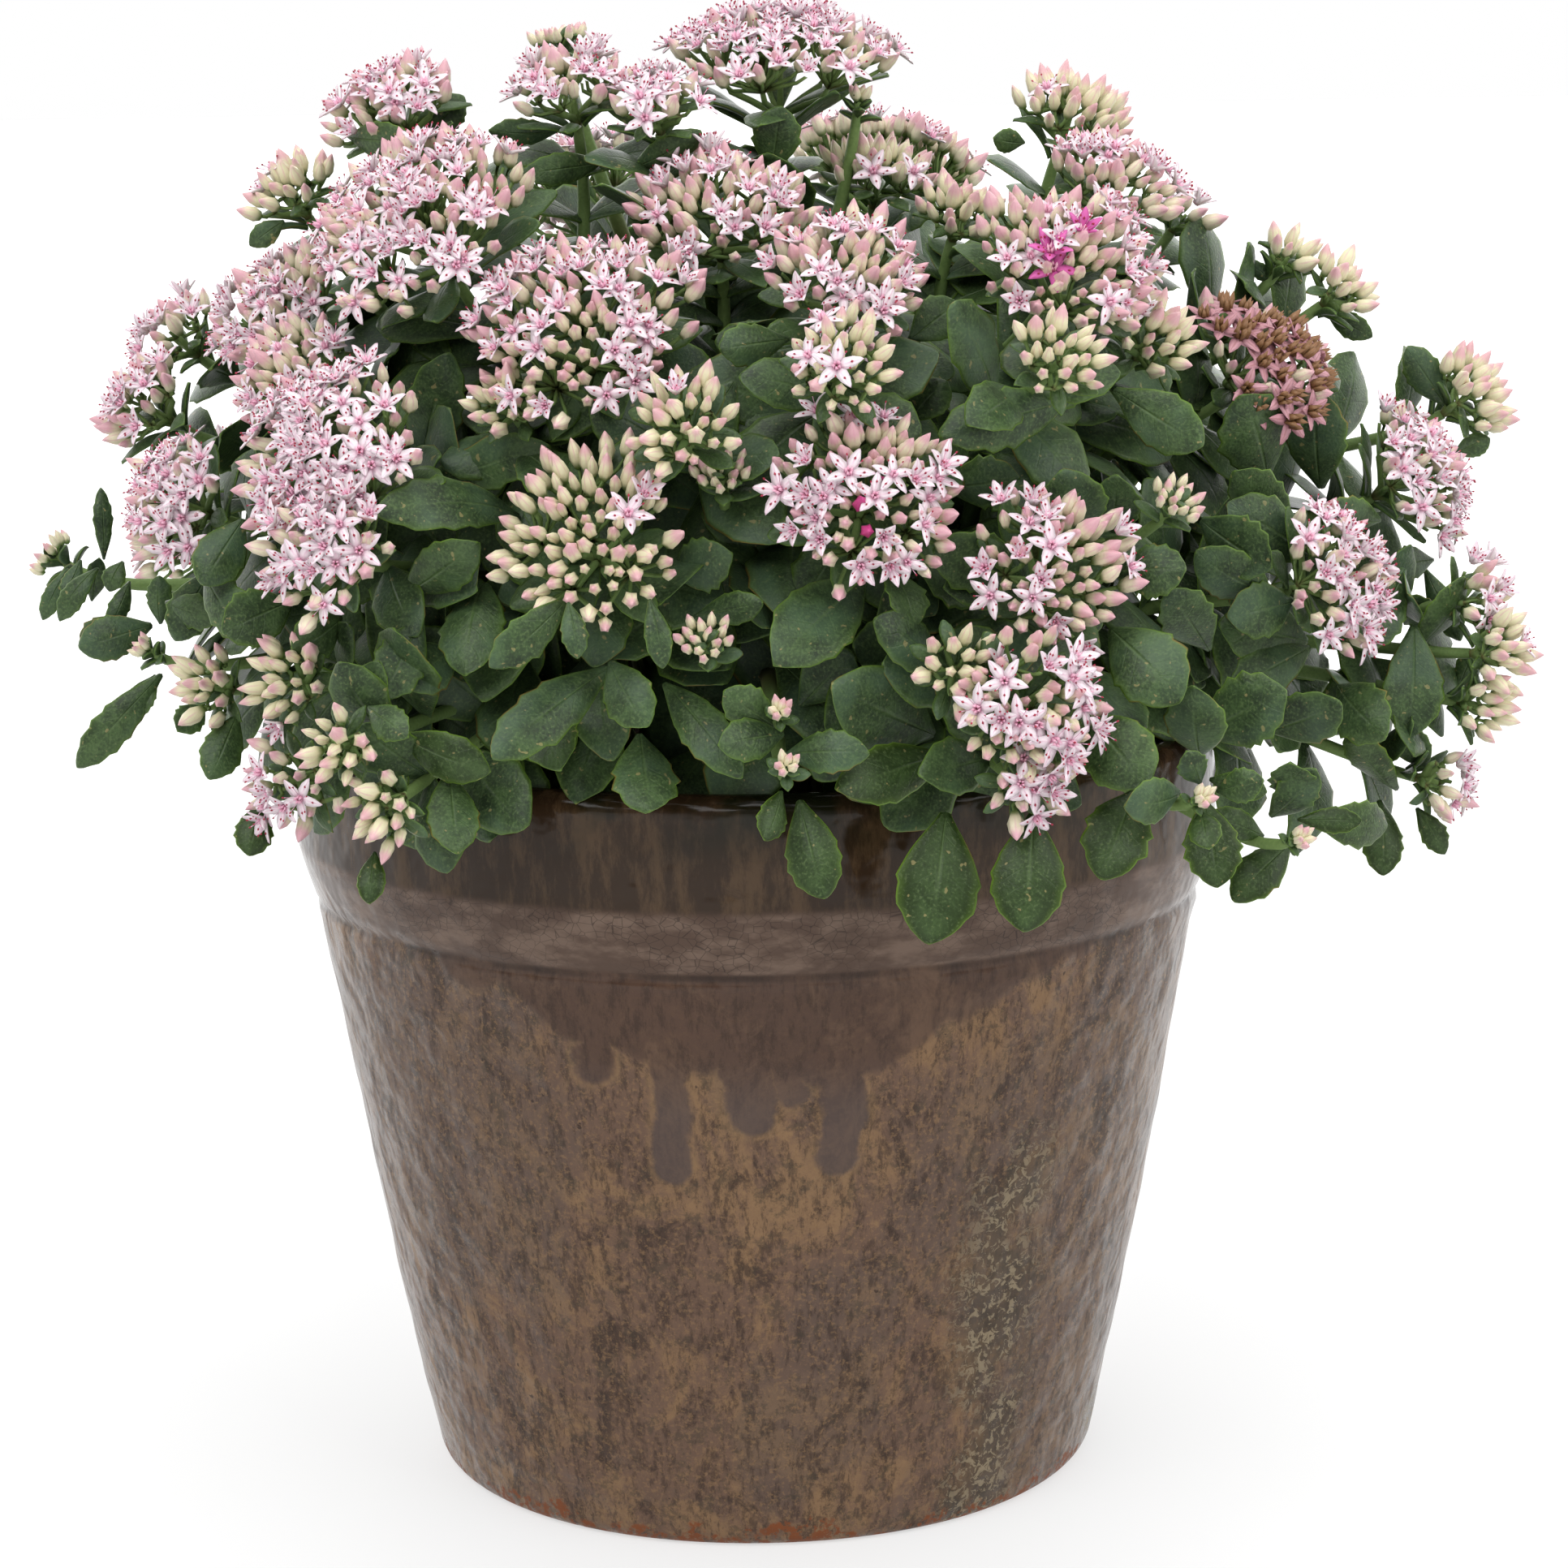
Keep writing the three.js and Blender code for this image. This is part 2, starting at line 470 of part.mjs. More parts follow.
// Whether each edge still lies between two faces when corners are rounded to a few places
function sound (g) {
  const p = g.attributes.position
  const key = i => [p.getX(i), p.getY(i), p.getZ(i)].map(x => Math.round(x * 2000)).join(' ')
  const index = g.index.array
  const edges = new Map()
  for (let k = 0; k < index.length; k += 3) {
    const c = [key(index[k]), key(index[k + 1]), key(index[k + 2])]
    if (c[0] === c[1] || c[1] === c[2] || c[2] === c[0]) continue
    for (let i = 0; i < 3; i++) {
      const e = [c[i], c[(i + 1) % 3]].sort().join('|')
      edges.set(e, (edges.get(e) || 0) + 1)
    }
  }
  return [...edges.values()].every(n => n === 2)
}
function geometryOf (manifold) {
  const m = manifold.getMesh()
  const g = new THREE.BufferGeometry()
  g.setAttribute('position', new THREE.Float32BufferAttribute(Array.from(m.vertProperties), 3))
  g.setIndex(Array.from(m.triVerts))
  return g
}
// Slivers are merged away a little at a time until the solid is sound.
function add (name, manifold, color, roughness = 0.7) {
  let g
  for (const near of [0.01, 0.03, 0.06, 0.1, 0.15, 0.2]) {
    g = geometryOf(largest(fromGeometry(geometryOf(manifold.simplify(near)))))
    if (sound(g)) break
  }
  g.computeVertexNormals()
  const mesh = new THREE.Mesh(g, new THREE.MeshStandardMaterial({ color, roughness, flatShading: true }))
  mesh.name = name
  object.add(mesh)
}

// Pot: tapered wall, flaring light band over a crease, upright dark rim with a rounded lip, hole in the floor
const taper = z => pot.base + (pot.crease - pot.base) * z / pot.creaseZ
const outerLine = [
  [pot.base - 3, 0], [pot.base + 0.4, 3], [taper(90), 90],
  [pot.crease, pot.creaseZ], [pot.crease + 2.4, pot.creaseZ + 5],
  [pot.lip, pot.bandZ], [pot.lip, pot.rimZ - 5], [pot.lip - 1.6, pot.rimZ - 1.4], [pot.lip - 5, pot.rimZ],
  [pot.lip - 8.5, pot.rimZ - 1.4], [pot.lip - 10, pot.rimZ - 5]
]
const innerLine = [
  [pot.lip - 10.5, pot.bandZ + 6], [pot.crease - pot.wall, pot.creaseZ],
  [taper(pot.floor) - pot.wall, pot.floor], [pot.drain, pot.floor], [pot.drain, 0]
]
const potSolid = turned([...outerLine, ...innerLine], pot.sides)
const roomyOuter = outerLine.map(([r, z]) => [r > pot.lip - 7 ? r + room : r, z > pot.rimZ - 4 ? z + room : z])
const potShell = turned([...roomyOuter, ...innerLine.map(([r, z]) => [r - room, z])], pot.sides)

// Head solids, each cut clear of the ones before it. A low bridge joins the parts of one head.
const bridge = { radius: 2.4, room: 1, sides: 3 }
const headBodies = new Map()
const cutters = []
const apart = (a, b) => [0, 1, 2].some(i => a.max[i] < b.min[i] || b.max[i] < a.min[i])
for (const [name, { parts, heads: members }] of headSolids) {
  const low = head => head.c.clone().addScaledVector(head.n, -0.1 * head.r)
  const spans = members.slice(1).map((head, i) => [low(members[i]), low(head)])
  const bridges = spans.map(ends => tube(ends, bridge.radius, bridge.radius, bridge.sides))
  const bounds = union([...members.map(head => block(head, 0)), ...bridges])
  let body = union([...parts, ...bridges]).intersect(bounds).subtract(potShell)
  const box = body.boundingBox()
  for (const cutter of cutters) {
    if (!apart(cutter.box, box)) body = body.subtract(cutter.hull)
  }
  headBodies.set(name, largest(body))
  const wide = bridge.radius + bridge.room
  const hulls = [...members.map(head => block(head, room)), ...spans.map(ends => tube(ends, wide, wide, bridge.sides))]
  for (const hull of hulls) cutters.push({ hull, box: hull.boundingBox() })
}

// Way from a place outside the core back into it
const inwardFrom = p => V(-0.35 * p.x, -0.35 * p.y, Math.max(238, Math.min(300, p.z - 30)) - p.z)
const stem = { reach: 160, deep: 4, straight: 9, low: 2.6, high: 2.1, tipLow: 2, tipHigh: 1.6, sides: 3, room: 1 }
// Stem from the core to the underside of a head
function growStem ({ c, n, r }) {
  const end = c.clone().addScaledVector(n, -dome.under * r - 0.1)
  const bend = end.clone().addScaledVector(n, -stem.straight)
  const start = toCore(bend, inwardFrom(end), stem.reach, stem.deep)
  if (!start) return
  const path = start.distanceTo(bend) > 12 ? [start, bend, end] : [start, end]
  bunchAt(start).bits.push({ path, r0: stem.low, r1: stem.high })
}
for (const { heads: members } of headSolids.values()) members.forEach(growStem)

for (const [u, v, w, y] of tips) {
  const c = seen(u, v, y)
  const n = c.clone().sub(plantMiddle).normalize().add(V(0, 0, 0.2)).normalize()
  const r = viewSize(w, y) / 2
  const end = c.clone().addScaledVector(n, -0.7 * r - 2)
  const start = toCore(end, inwardFrom(end), stem.reach, stem.deep)
  if (!start) continue
  bunchAt(start).bits.push({ path: [start, end], r0: stem.tipLow, r1: stem.tipHigh })
  bunchAt(start).bits.push({ sprig: [end.clone().addScaledVector(n, 1), basis(n), r, rnd() * tau] })
}

// Leaves: a foot outside the core gets a neck that runs back into it
function growLeaf (foot, tip, from, width) {
  const d = tip.clone().sub(foot).normalize()
  const across = d.clone().cross(from.clone().sub(foot).normalize())
  let root = null
  if (!inCore(foot, 1.5)) {
    const inward = V(-foot.x, -foot.y, 255 - foot.z).normalize()
    for (const share of [0.8, 0.5, 0.2, 0]) {
      root = root || toCore(foot, inward.clone().addScaledVector(d, -share), 120, 2)
    }
    if (!root) return
  }
  bunchAt(root || foot).bits.push({ leaf: { foot, tip, across, width, fold: leafShape.fold, root } })
}
const eye = V(0, -sight.back, sight.up)
const smallLeaf = 68
for (const [u0, v0, u1, v1, w, y0, y1] of leaves) {
  const outer = v1 < 290 || u1 < 320 || u1 > 1680 || v1 > 1070
  if (w >= smallLeaf || outer) growLeaf(seen(u0, v0, y0), seen(u1, v1, y1), eye, viewSize(w, (y0 + y1) / 2))
}
// Leaves of the sides and the back, in rings that lie over one another: height, count, fall
const rings = [[232, 10, 1.5], [252, 9, 1], [278, 9, 0.8], [304, 7, 0.2], [328, 5, -0.6]]
const ringArc = { from: -16, over: 212, length: 43, width: 29 }
for (const [z, count, fall] of rings) {
  for (let k = 0; k < count; k++) {
    const share = (k + 0.5 * ((z / 2) % 2) + 0.2 * rnd()) / (count - 0.3)
    const a = (ringArc.from + ringArc.over * share) * Math.PI / 180
    const r = coreRadius(z) - 2
    const foot = V(r * Math.cos(a), r * Math.sin(a) * squash, z)
    const swing = 1.2 * (rnd() - 0.5)
    const out = V(Math.cos(a) * 0.75 - Math.sin(a) * swing, Math.sin(a) * 0.75 + Math.cos(a) * swing, -fall * 0.6)
    const tip = foot.clone().addScaledVector(out.normalize(), ringArc.length + 7 * rnd())
    growLeaf(foot, tip, foot.clone().add(V(Math.cos(a) * 90, Math.sin(a) * 90, 70)), ringArc.width + 4 * rnd())
  }
}

// A bit of a bunch as a solid: leaf, sprig or stem, grown by some room for cutting
function build (bit, grow) {
  if (bit.leaf) return grow ? roomyBlade(bit.leaf, grow) : blade(bit.leaf)
  if (bit.sprig) {
    const [c, f, r, turn] = bit.sprig
    return sprig(c.clone().addScaledVector(f[2], -2 * grow), f, r + 3 * grow, turn)
  }
  if (!grow) return tube(bit.path, bit.r0, bit.r1, stem.sides)
  const path = bit.path.map(q => q.clone())
  const n = path.length - 1
  path[n].addScaledVector(path[n].clone().sub(path[n - 1]).normalize(), 0.8)
  path[0].addScaledVector(path[0].clone().sub(path[1]).normalize(), 0.8)
  return tube(path, bit.r0 + stem.room, bit.r1 + stem.room, stem.sides)
}

// Leafy stems: cut clear of pot, soil, heads and of one another, on crown pegs in plain holes of the soil
const soilLid = turned([
  [0, soil.top - 20], [pot.lip - 6, soil.top - 20], [pot.lip - 6, soil.top + gap + 0.05], [0, soil.top + gap + 0.05]
], soil.sides)
const peg = (radius, low, high) => turned([[0, low], [radius, low], [radius, high], [0, high]], crown.sides)
const doneBunches = []
greens.forEach((g, k) => {
  const grown = [...g.bits.map(bit => build(bit, 0)), slice(k, 0)]
  let body = union(grown).subtract(potShell).subtract(soilLid)
  for (const { hull } of cutters) body = body.subtract(hull)
  for (let i = 0; i < slices; i++) {
    if (i !== k) body = body.subtract(slice(i, 0.5))
  }
  for (const other of doneBunches) body = body.subtract(other)
  g.body = largest(union([body, peg(crown.radius, -crown.deep, 4).translate([g.crown.x, g.crown.y, g.crown.z])]))
  doneBunches.push(union(g.bits.map(bit => build(bit, 0.5))))
})

// Soil: fills the pot up to below its rim, with a plain hole for each crown
const inside = z => {
  if (z < pot.creaseZ) return taper(z) - pot.wall - 2 * gap
  const share = (z - pot.creaseZ) / (pot.bandZ + 6 - pot.creaseZ)
  return pot.crease - pot.wall - 2 * gap + share * (pot.lip - 10.5 - pot.crease + pot.wall)
}
const soilLine = [
  [0, pot.floor + gap], [inside(pot.floor) - 0.4, pot.floor + gap], [inside(pot.creaseZ), pot.creaseZ],
  [inside(pot.bandZ + 5), pot.bandZ + 5], [pot.lip - 11.2, soil.top - 2], [pot.lip - 14, soil.top], [0, soil.top]
]
const hole = g => peg(crown.radius + crown.room, -crown.deep - 1, 9).translate([g.crown.x, g.crown.y, g.crown.z])
const soilSolid = greens.reduce((body, g) => body.subtract(hole(g)), turned(soilLine, soil.sides))

const tint = {
  pot: '#5b463b', soil: '#3a2c22', leaf: '#4c6148', o: '#e3bcd0', m: '#dcb9c4', b: '#d6d3b0', s: '#b98f8c'
}
add('pot', potSolid, tint.pot, 0.25)
add('soil', soilSolid, tint.soil, 0.95)
greens.forEach((g, k) => add('leafy_stems_' + String(k + 1).padStart(2, '0'), g.body, tint.leaf))
for (const [name, body] of headBodies) add(name, body, tint[headSolids.get(name).kind])

export default object
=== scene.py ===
import math

import bpy
import numpy as np
from mathutils import Matrix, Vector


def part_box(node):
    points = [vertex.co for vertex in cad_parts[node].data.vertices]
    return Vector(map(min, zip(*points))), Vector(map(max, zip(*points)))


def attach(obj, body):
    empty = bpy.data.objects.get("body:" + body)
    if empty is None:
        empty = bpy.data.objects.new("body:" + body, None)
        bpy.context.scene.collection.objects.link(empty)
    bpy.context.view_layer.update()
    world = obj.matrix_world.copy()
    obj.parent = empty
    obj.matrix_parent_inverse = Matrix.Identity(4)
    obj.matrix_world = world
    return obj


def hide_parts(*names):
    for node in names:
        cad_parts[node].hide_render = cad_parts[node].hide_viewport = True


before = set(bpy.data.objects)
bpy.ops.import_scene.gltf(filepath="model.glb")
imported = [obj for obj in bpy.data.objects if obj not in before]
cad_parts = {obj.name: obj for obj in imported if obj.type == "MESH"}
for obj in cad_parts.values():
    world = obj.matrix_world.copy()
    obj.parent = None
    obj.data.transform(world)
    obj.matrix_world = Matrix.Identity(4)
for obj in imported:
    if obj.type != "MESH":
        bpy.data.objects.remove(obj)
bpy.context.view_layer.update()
print("frame loaded")

# Lengths in this script are millimetres, turned to metres where a mesh is made.
mm = 0.001
rng = np.random.default_rng(11)  # every draw of the script comes from here, in one order

# The front view: how far back and up the camera stands, its tilt, its reach in pixels, and the pixel grid
view = {"back": 1091.3, "up": 404.3, "pitch": 10.699, "roll": 0.919, "reach": 4648.8, "middle": 931,
        "frame": 1932, "sensor": 36, "far": 50, "widthGain": 1.01}
pitch, roll = math.radians(view["pitch"]), math.radians(view["roll"])


def makeCamera():
    right, up = np.array([1, 0, 0]), np.array([0, math.sin(pitch), math.cos(pitch)])
    data = bpy.data.cameras.new("camera")
    data.sensor_width = view["sensor"]
    data.lens = view["reach"] * view["sensor"] / view["frame"]
    data.shift_x = (view["frame"] / 2 - view["middle"]) / view["frame"]
    data.clip_end = view["far"]
    camera = bpy.data.objects.new("camera", data)
    place = np.eye(4)
    place[:3, 0] = math.cos(roll) * right - math.sin(roll) * up
    place[:3, 1] = math.sin(roll) * right + math.cos(roll) * up
    place[:3, 2] = [0, -math.cos(pitch), math.sin(pitch)]
    place[:3, 3] = [0, -view["back"] * mm, view["up"] * mm]
    camera.matrix_world = Matrix(place.tolist())
    bpy.context.scene.collection.objects.link(camera)
    bpy.context.scene.camera = camera


makeCamera()


# Point at depth y that the front view shows at (u, v): the sight line through the pixel, cut at that depth
def seen(u, v, y):
    u, v, y = (np.asarray(t, float) for t in (u, v, y))
    a, b = u - view["middle"], v - view["frame"] / 2
    across = (a * math.cos(roll) - b * math.sin(roll)) / view["reach"]
    up = -(a * math.sin(roll) + b * math.cos(roll)) / view["reach"]
    dy = math.cos(pitch) + up * math.sin(pitch)
    dz = -math.sin(pitch) + up * math.cos(pitch)
    t = (view["back"] + y) / dy
    return np.stack([across * t, y + 0 * t, view["up"] + dz * t], axis=-1)


# Width of a form at depth y that spans so many pixels of the front view
def widthAt(pixels, y):
    return np.asarray(pixels) * (view["back"] + np.asarray(y)) / view["reach"] * view["widthGain"]


# Small vector sums on whole arrays
def unit(v):
    return v / np.maximum(np.linalg.norm(v, axis=-1, keepdims=True), 1e-9)


def smooth(low, high, x):
    t = np.clip((x - low) / (high - low), 0, 1)
    return t * t * (3 - 2 * t)


# Three axes for each normal: the third is the normal, the first lies level where it can
def axesAbout(normals):
    z = unit(np.asarray(normals, float))
    guide = np.where(np.abs(z[..., 2:3]) < 0.9, np.array([0.0, 0, 1]), np.array([0.0, 1, 0]))
    x = unit(np.cross(guide, z))
    return np.stack([x, np.cross(z, x), z], axis=-2)


# Faces of a closed skin: rows of rings, then a pole at each end, all facing outwards
def skinFaces(rows, cols):
    i, k = np.meshgrid(np.arange(rows - 1), np.arange(cols), indexing="ij")
    j = (k + 1) % cols
    quads = np.stack([i * cols + k, i * cols + j, (i + 1) * cols + j, (i + 1) * cols + k], -1).reshape(-1, 4)
    k = np.arange(cols)
    j = (k + 1) % cols
    low = np.stack([j, k, np.full(cols, rows * cols)], -1)
    high = np.stack([(rows - 1) * cols + k, (rows - 1) * cols + j, np.full(cols, rows * cols + 1)], -1)
    return quads, np.concatenate([low, high])


def skinPoints(rings, first, last):
    count, rows, cols = rings.shape[:3]
    flat = rings.reshape(count, rows * cols, 3)
    return np.concatenate([flat, first[:, None], last[:, None]], axis=1)


# A mask given for each row, spread over the rings and the two poles
def rowMask(values, cols, first, last):
    values = np.atleast_2d(values)
    flat = np.repeat(values, cols, axis=1)
    ends = np.ones((len(values), 1))
    return np.concatenate([flat, first * ends, last * ends], axis=1)


# Masks that every piece carries: how far along its form a point lies, how near the edge, and its own tone
maskNames = ("along", "edge", "tone")


# A pile collects the surfaces of one piece, with their masks and material numbers
def newPile():
    pile = {key: [] for key in ("points", "quads", "tris", "quadSkin", "triSkin") + maskNames}
    pile["size"] = 0
    return pile


# Copies of one surface join the pile: points has a row for each copy, skin is one number or one per face
def heapUp(pile, points, quads, tris, along, edge, tone, skin=0):
    count, each = points.shape[:2]
    shift = pile["size"] + np.arange(count)[:, None, None] * each
    pile["points"].append(points.reshape(-1, 3))
    pile["quads"].append((quads[None] + shift).reshape(-1, 4))
    pile["tris"].append((tris[None] + shift).reshape(-1, 3))
    quadSkin, triSkin = skin if isinstance(skin, tuple) else (skin, skin)
    pile["quadSkin"].append(np.tile(np.broadcast_to(quadSkin, len(quads)), count))
    pile["triSkin"].append(np.tile(np.broadcast_to(triSkin, len(tris)), count))
    for key, values in zip(maskNames, (along, edge, tone)):
        pile[key].append(np.broadcast_to(values, (count, each)).reshape(-1))
    pile["size"] += count * each


triangleCount = {}


# A pile made a mesh object that rides on the body and stands for its node
def makePiece(name, pile, materials, node):
    points = np.concatenate(pile["points"]) * mm
    quads, tris = np.concatenate(pile["quads"]), np.concatenate(pile["tris"])
    mesh = bpy.data.meshes.new(name)
    mesh.vertices.add(len(points))
    mesh.vertices.foreach_set("co", points.ravel())
    mesh.loops.add(quads.size + tris.size)
    mesh.loops.foreach_set("vertex_index", np.concatenate([quads.ravel(), tris.ravel()]))
    sizes = np.concatenate([np.full(len(quads), 4), np.full(len(tris), 3)])
    mesh.polygons.add(len(sizes))
    mesh.polygons.foreach_set("loop_start", np.concatenate([[0], np.cumsum(sizes)[:-1]]))
    mesh.polygons.foreach_set("material_index", np.concatenate(pile["quadSkin"] + pile["triSkin"]))
    mesh.polygons.foreach_set("use_smooth", np.ones(len(sizes), bool))
    for key in maskNames:
        values = mesh.attributes.new(key, "FLOAT", "POINT")
        values.data.foreach_set("value", np.concatenate(pile[key]).astype(np.float32))
    mesh.update(calc_edges=True)
    piece = bpy.data.objects.new(name, mesh)
    bpy.context.scene.collection.objects.link(piece)
    for material in materials:
        mesh.materials.append(material)
    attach(piece, "root")
    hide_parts(node)
    triangleCount[name] = 2 * len(quads) + len(tris)


# Each input of a node takes a number or colour, or a link from a socket
def feed(tree, node, inputs):
    for key, value in inputs.items():
        if isinstance(value, bpy.types.NodeSocket):
            tree.links.new(value, node.inputs[key])
        else:
            node.inputs[key].default_value = value


def put(tree, kind, inputs=None, **settings):
    made = tree.nodes.new(kind)
    for key, value in settings.items():
        setattr(made, key, value)
    feed(tree, made, inputs or {})
    return made


def calc(tree, operation, a, b=0.0, c=0.0):
    return put(tree, "ShaderNodeMath", {0: a, 1: b, 2: c}, operation=operation).outputs[0]


# Product of masks and numbers
def times(tree, first, *others):
    for other in others:
        first = calc(tree, "MULTIPLY", first, other)
    return first


# Weighted sum: start, plus value times weight for each pair
def total(tree, start, *pairs):
    for value, weight in pairs:
        start = calc(tree, "MULTIPLY_ADD", value, weight, start)
    return start


# Soft step: 0 at low, 1 at high, and the other way round where low is the larger
def fade(tree, value, low, high):
    return put(tree, "ShaderNodeMapRange", {"Value": value, "From Min": low, "From Max": high},
               interpolation_type="SMOOTHSTEP").outputs[0]


def mixed(tree, share, first, second):
    return put(tree, "ShaderNodeMix", {0: share, 6: first, 7: second}, data_type="RGBA").outputs[2]


# Paint over a base, as strong as the product of the shares
def laid(tree, base, paint, *shares):
    return mixed(tree, times(tree, *shares), base, paint)


def mask(tree, name):
    return put(tree, "ShaderNodeAttribute", attribute_name=name).outputs["Fac"]


# Object coordinates; a rise under 1 draws a pattern out upwards
def objectPlace(tree, rise=1):
    spot = put(tree, "ShaderNodeTexCoord").outputs["Object"]
    if rise == 1:
        return spot
    return put(tree, "ShaderNodeMapping", {"Vector": spot, "Scale": (1, 1, rise)}).outputs[0]


def noise(tree, spot, scale, detail=3.0, rough=0.5, warp=0.0):
    inputs = {"Vector": spot, "Scale": scale, "Detail": detail, "Roughness": rough, "Distortion": warp}
    return put(tree, "ShaderNodeTexNoise", inputs).outputs[0]


# Patches where a noise is high, with soft edges from low to high
def blotches(tree, spot, low, high, *kind):
    return fade(tree, noise(tree, spot, *kind), low, high)


# A screen colour (0 to 255) as the linear colour that shaders take
def tint(red, green, blue):
    linear = (((c / 255 + 0.055) / 1.055) ** 2.4 if c > 10 else c / 3295 for c in (red, green, blue))
    return tuple(linear) + (1.0,)


def newMaterial(name):
    material = bpy.data.materials.new(name)
    material.use_nodes = True
    tree = material.node_tree
    return material, tree, tree.nodes["Principled BSDF"]


# Colour, roughness, shine and a bump (depth in metres) on the shader's own sockets
def dress(tree, shader, colour, rough, height, depth, strength=0.5, shine=0.5):
    bump = put(tree, "ShaderNodeBump", {"Height": height, "Distance": depth, "Strength": strength})
    feed(tree, shader, {"Base Color": colour, "Roughness": rough, "Specular IOR Level": shine,
                        "Normal": bump.outputs[0]})


# A node group with number sockets: its inputs by name and start value, its outputs by name
def newGroup(name, inputs, outputs):
    group = bpy.data.node_groups.new(name, "ShaderNodeTree")
    for key, start in inputs.items():
        socket = group.interface.new_socket(name=key, in_out="INPUT", socket_type="NodeSocketFloat")
        socket.default_value = start
    for key in outputs:
        group.interface.new_socket(name=key, in_out="OUTPUT", socket_type="NodeSocketFloat")
    return group, group.nodes.new("NodeGroupInput").outputs, group.nodes.new("NodeGroupOutput")


# Shared effect: a fine grain of light and dark flecks, with a height for its bump
def makeFleckGroup():
    group, given, sink = newGroup("flecks", {"Scale": 900.0, "Contrast": 0.5}, ("Flecks", "Grain"))
    spot = objectPlace(group)
    fine = noise(group, spot, given["Scale"], 2.0)
    coarse = noise(group, spot, times(group, given["Scale"], 0.18), 2.0)
    both = total(group, -0.5, (fine, 0.6), (coarse, 0.4))
    spread = total(group, 0.5, (both, times(group, given["Contrast"], 6.0)))
    flecks = calc(group, "MINIMUM", calc(group, "MAXIMUM", spread, 0.0), 1.0)
    feed(group, sink, {"Flecks": flecks, "Grain": fine})
    return group


fleckGroup = makeFleckGroup()


def fleckOutputs(tree, scale, contrast):
    made = put(tree, "ShaderNodeGroup", {"Scale": scale, "Contrast": contrast}, node_tree=fleckGroup)
    return made.outputs["Flecks"], made.outputs["Grain"]


# Leaf: dark speckled green with a paler rib, side veins and a thin yellow-green rim that browns in places
leafLook = {
    "dark": tint(27, 40, 19), "light": tint(68, 90, 50), "blue": tint(76, 99, 76), "warm": tint(27, 43, 5),
    "rib": tint(92, 116, 68), "rim": tint(106, 138, 48), "rust": tint(126, 84, 48),
    "spot": tint(150, 138, 92), "dust": tint(98, 114, 74), "rough": 0.4, "shine": 0.26,
    "veinsAlong": 44.0, "veinsSlant": -9.0, "bumpDepth": 0.0006,
}


def makeLeafMaterial(name, lift=0.0):
    material, tree, shader = newMaterial(name)
    look, spot = leafLook, objectPlace(tree)
    along, edge, tone = (mask(tree, key) for key in maskNames)
    speckle, grain = fleckOutputs(tree, 1300, 1.0)
    clouds = blotches(tree, spot, 0.35, 0.65, 130, 2.0, 0.6)
    shade = total(tree, lift - 0.08, (clouds, 0.4), (tone, 0.4), (speckle, 0.55))
    green = mixed(tree, shade, look["dark"], look["light"])
    slow = noise(tree, spot, 70, 1.0)
    cool = total(tree, 0.1, (fade(tree, slow, 0.45, 0.7), 0.45))
    green = laid(tree, green, look["blue"], fade(tree, tone, 0.75, 0.4), cool)
    sunny = total(tree, 0.4, (fade(tree, edge, 0.2, 1.0), 0.6))
    green = laid(tree, green, look["warm"], fade(tree, tone, 0.55, 0.95), sunny)
    rib = times(tree, fade(tree, edge, 0.085, 0.0), fade(tree, along, 0.95, 0.3))
    green = laid(tree, green, look["rib"], rib, 0.4)
    wave = calc(tree, "SINE", total(tree, 0.0, (along, look["veinsAlong"]), (edge, look["veinsSlant"])))
    veins = times(tree, fade(tree, wave, 0.9, 1.0), fade(tree, edge, 0.95, 0.5))
    green = laid(tree, green, look["rib"], veins, 0.08)
    green = laid(tree, green, look["spot"], blotches(tree, spot, 0.71, 0.75, 520, 1.0), 0.55)
    green = laid(tree, green, look["dust"], fade(tree, grain, 0.56, 0.7), 0.3)
    green = laid(tree, green, look["rim"], fade(tree, edge, 0.7, 1.0), 0.22)
    rim = fade(tree, edge, 0.93, 0.99)
    green = laid(tree, green, look["rim"], rim, total(tree, 0.45, (tone, 0.4)))
    green = laid(tree, green, look["rust"], rim, 0.6, fade(tree, slow, 0.6, 0.66))
    height = total(tree, 0.0, (grain, 0.35), (rib, -0.8), (veins, -0.1))
    dress(tree, shader, green, look["rough"], height, look["bumpDepth"], 0.7, look["shine"])
    return material


# Colours of stems and blooms. Stems: two greens and a brown foot. Petals: pale, deep, keel, strongest pink.
# Carpels: low and high. Stamens: two of the thread, two of the anther. Buds: cream, rose, green foot.
# Both kinds of buds share the lighter cream and the strongest pink of budShine.
plantColours = {
    "stemGreen": ((76, 100, 54), (124, 148, 86), (108, 82, 58)),
    "palePetals": ((242, 235, 237), (230, 208, 218), (206, 152, 180), (206, 92, 164)),
    "spentPetals": ((206, 160, 168), (168, 104, 118), (140, 92, 84), (150, 60, 100)),
    "carpels": ((226, 150, 182), (244, 196, 214)),
    "spentCarpels": ((104, 88, 52), (150, 104, 70)),
    "stamens": ((236, 196, 216), (222, 160, 190), (120, 22, 52), (182, 44, 66)),
    "buds": ((222, 212, 184), (208, 148, 168), (120, 142, 78)),
    "paleBuds": ((220, 214, 178), (210, 152, 168), (112, 140, 72)),
    "budShine": ((232, 226, 196), (190, 60, 126)),
}


def coloursOf(name):
    return [tint(*colour) for colour in plantColours[name]]


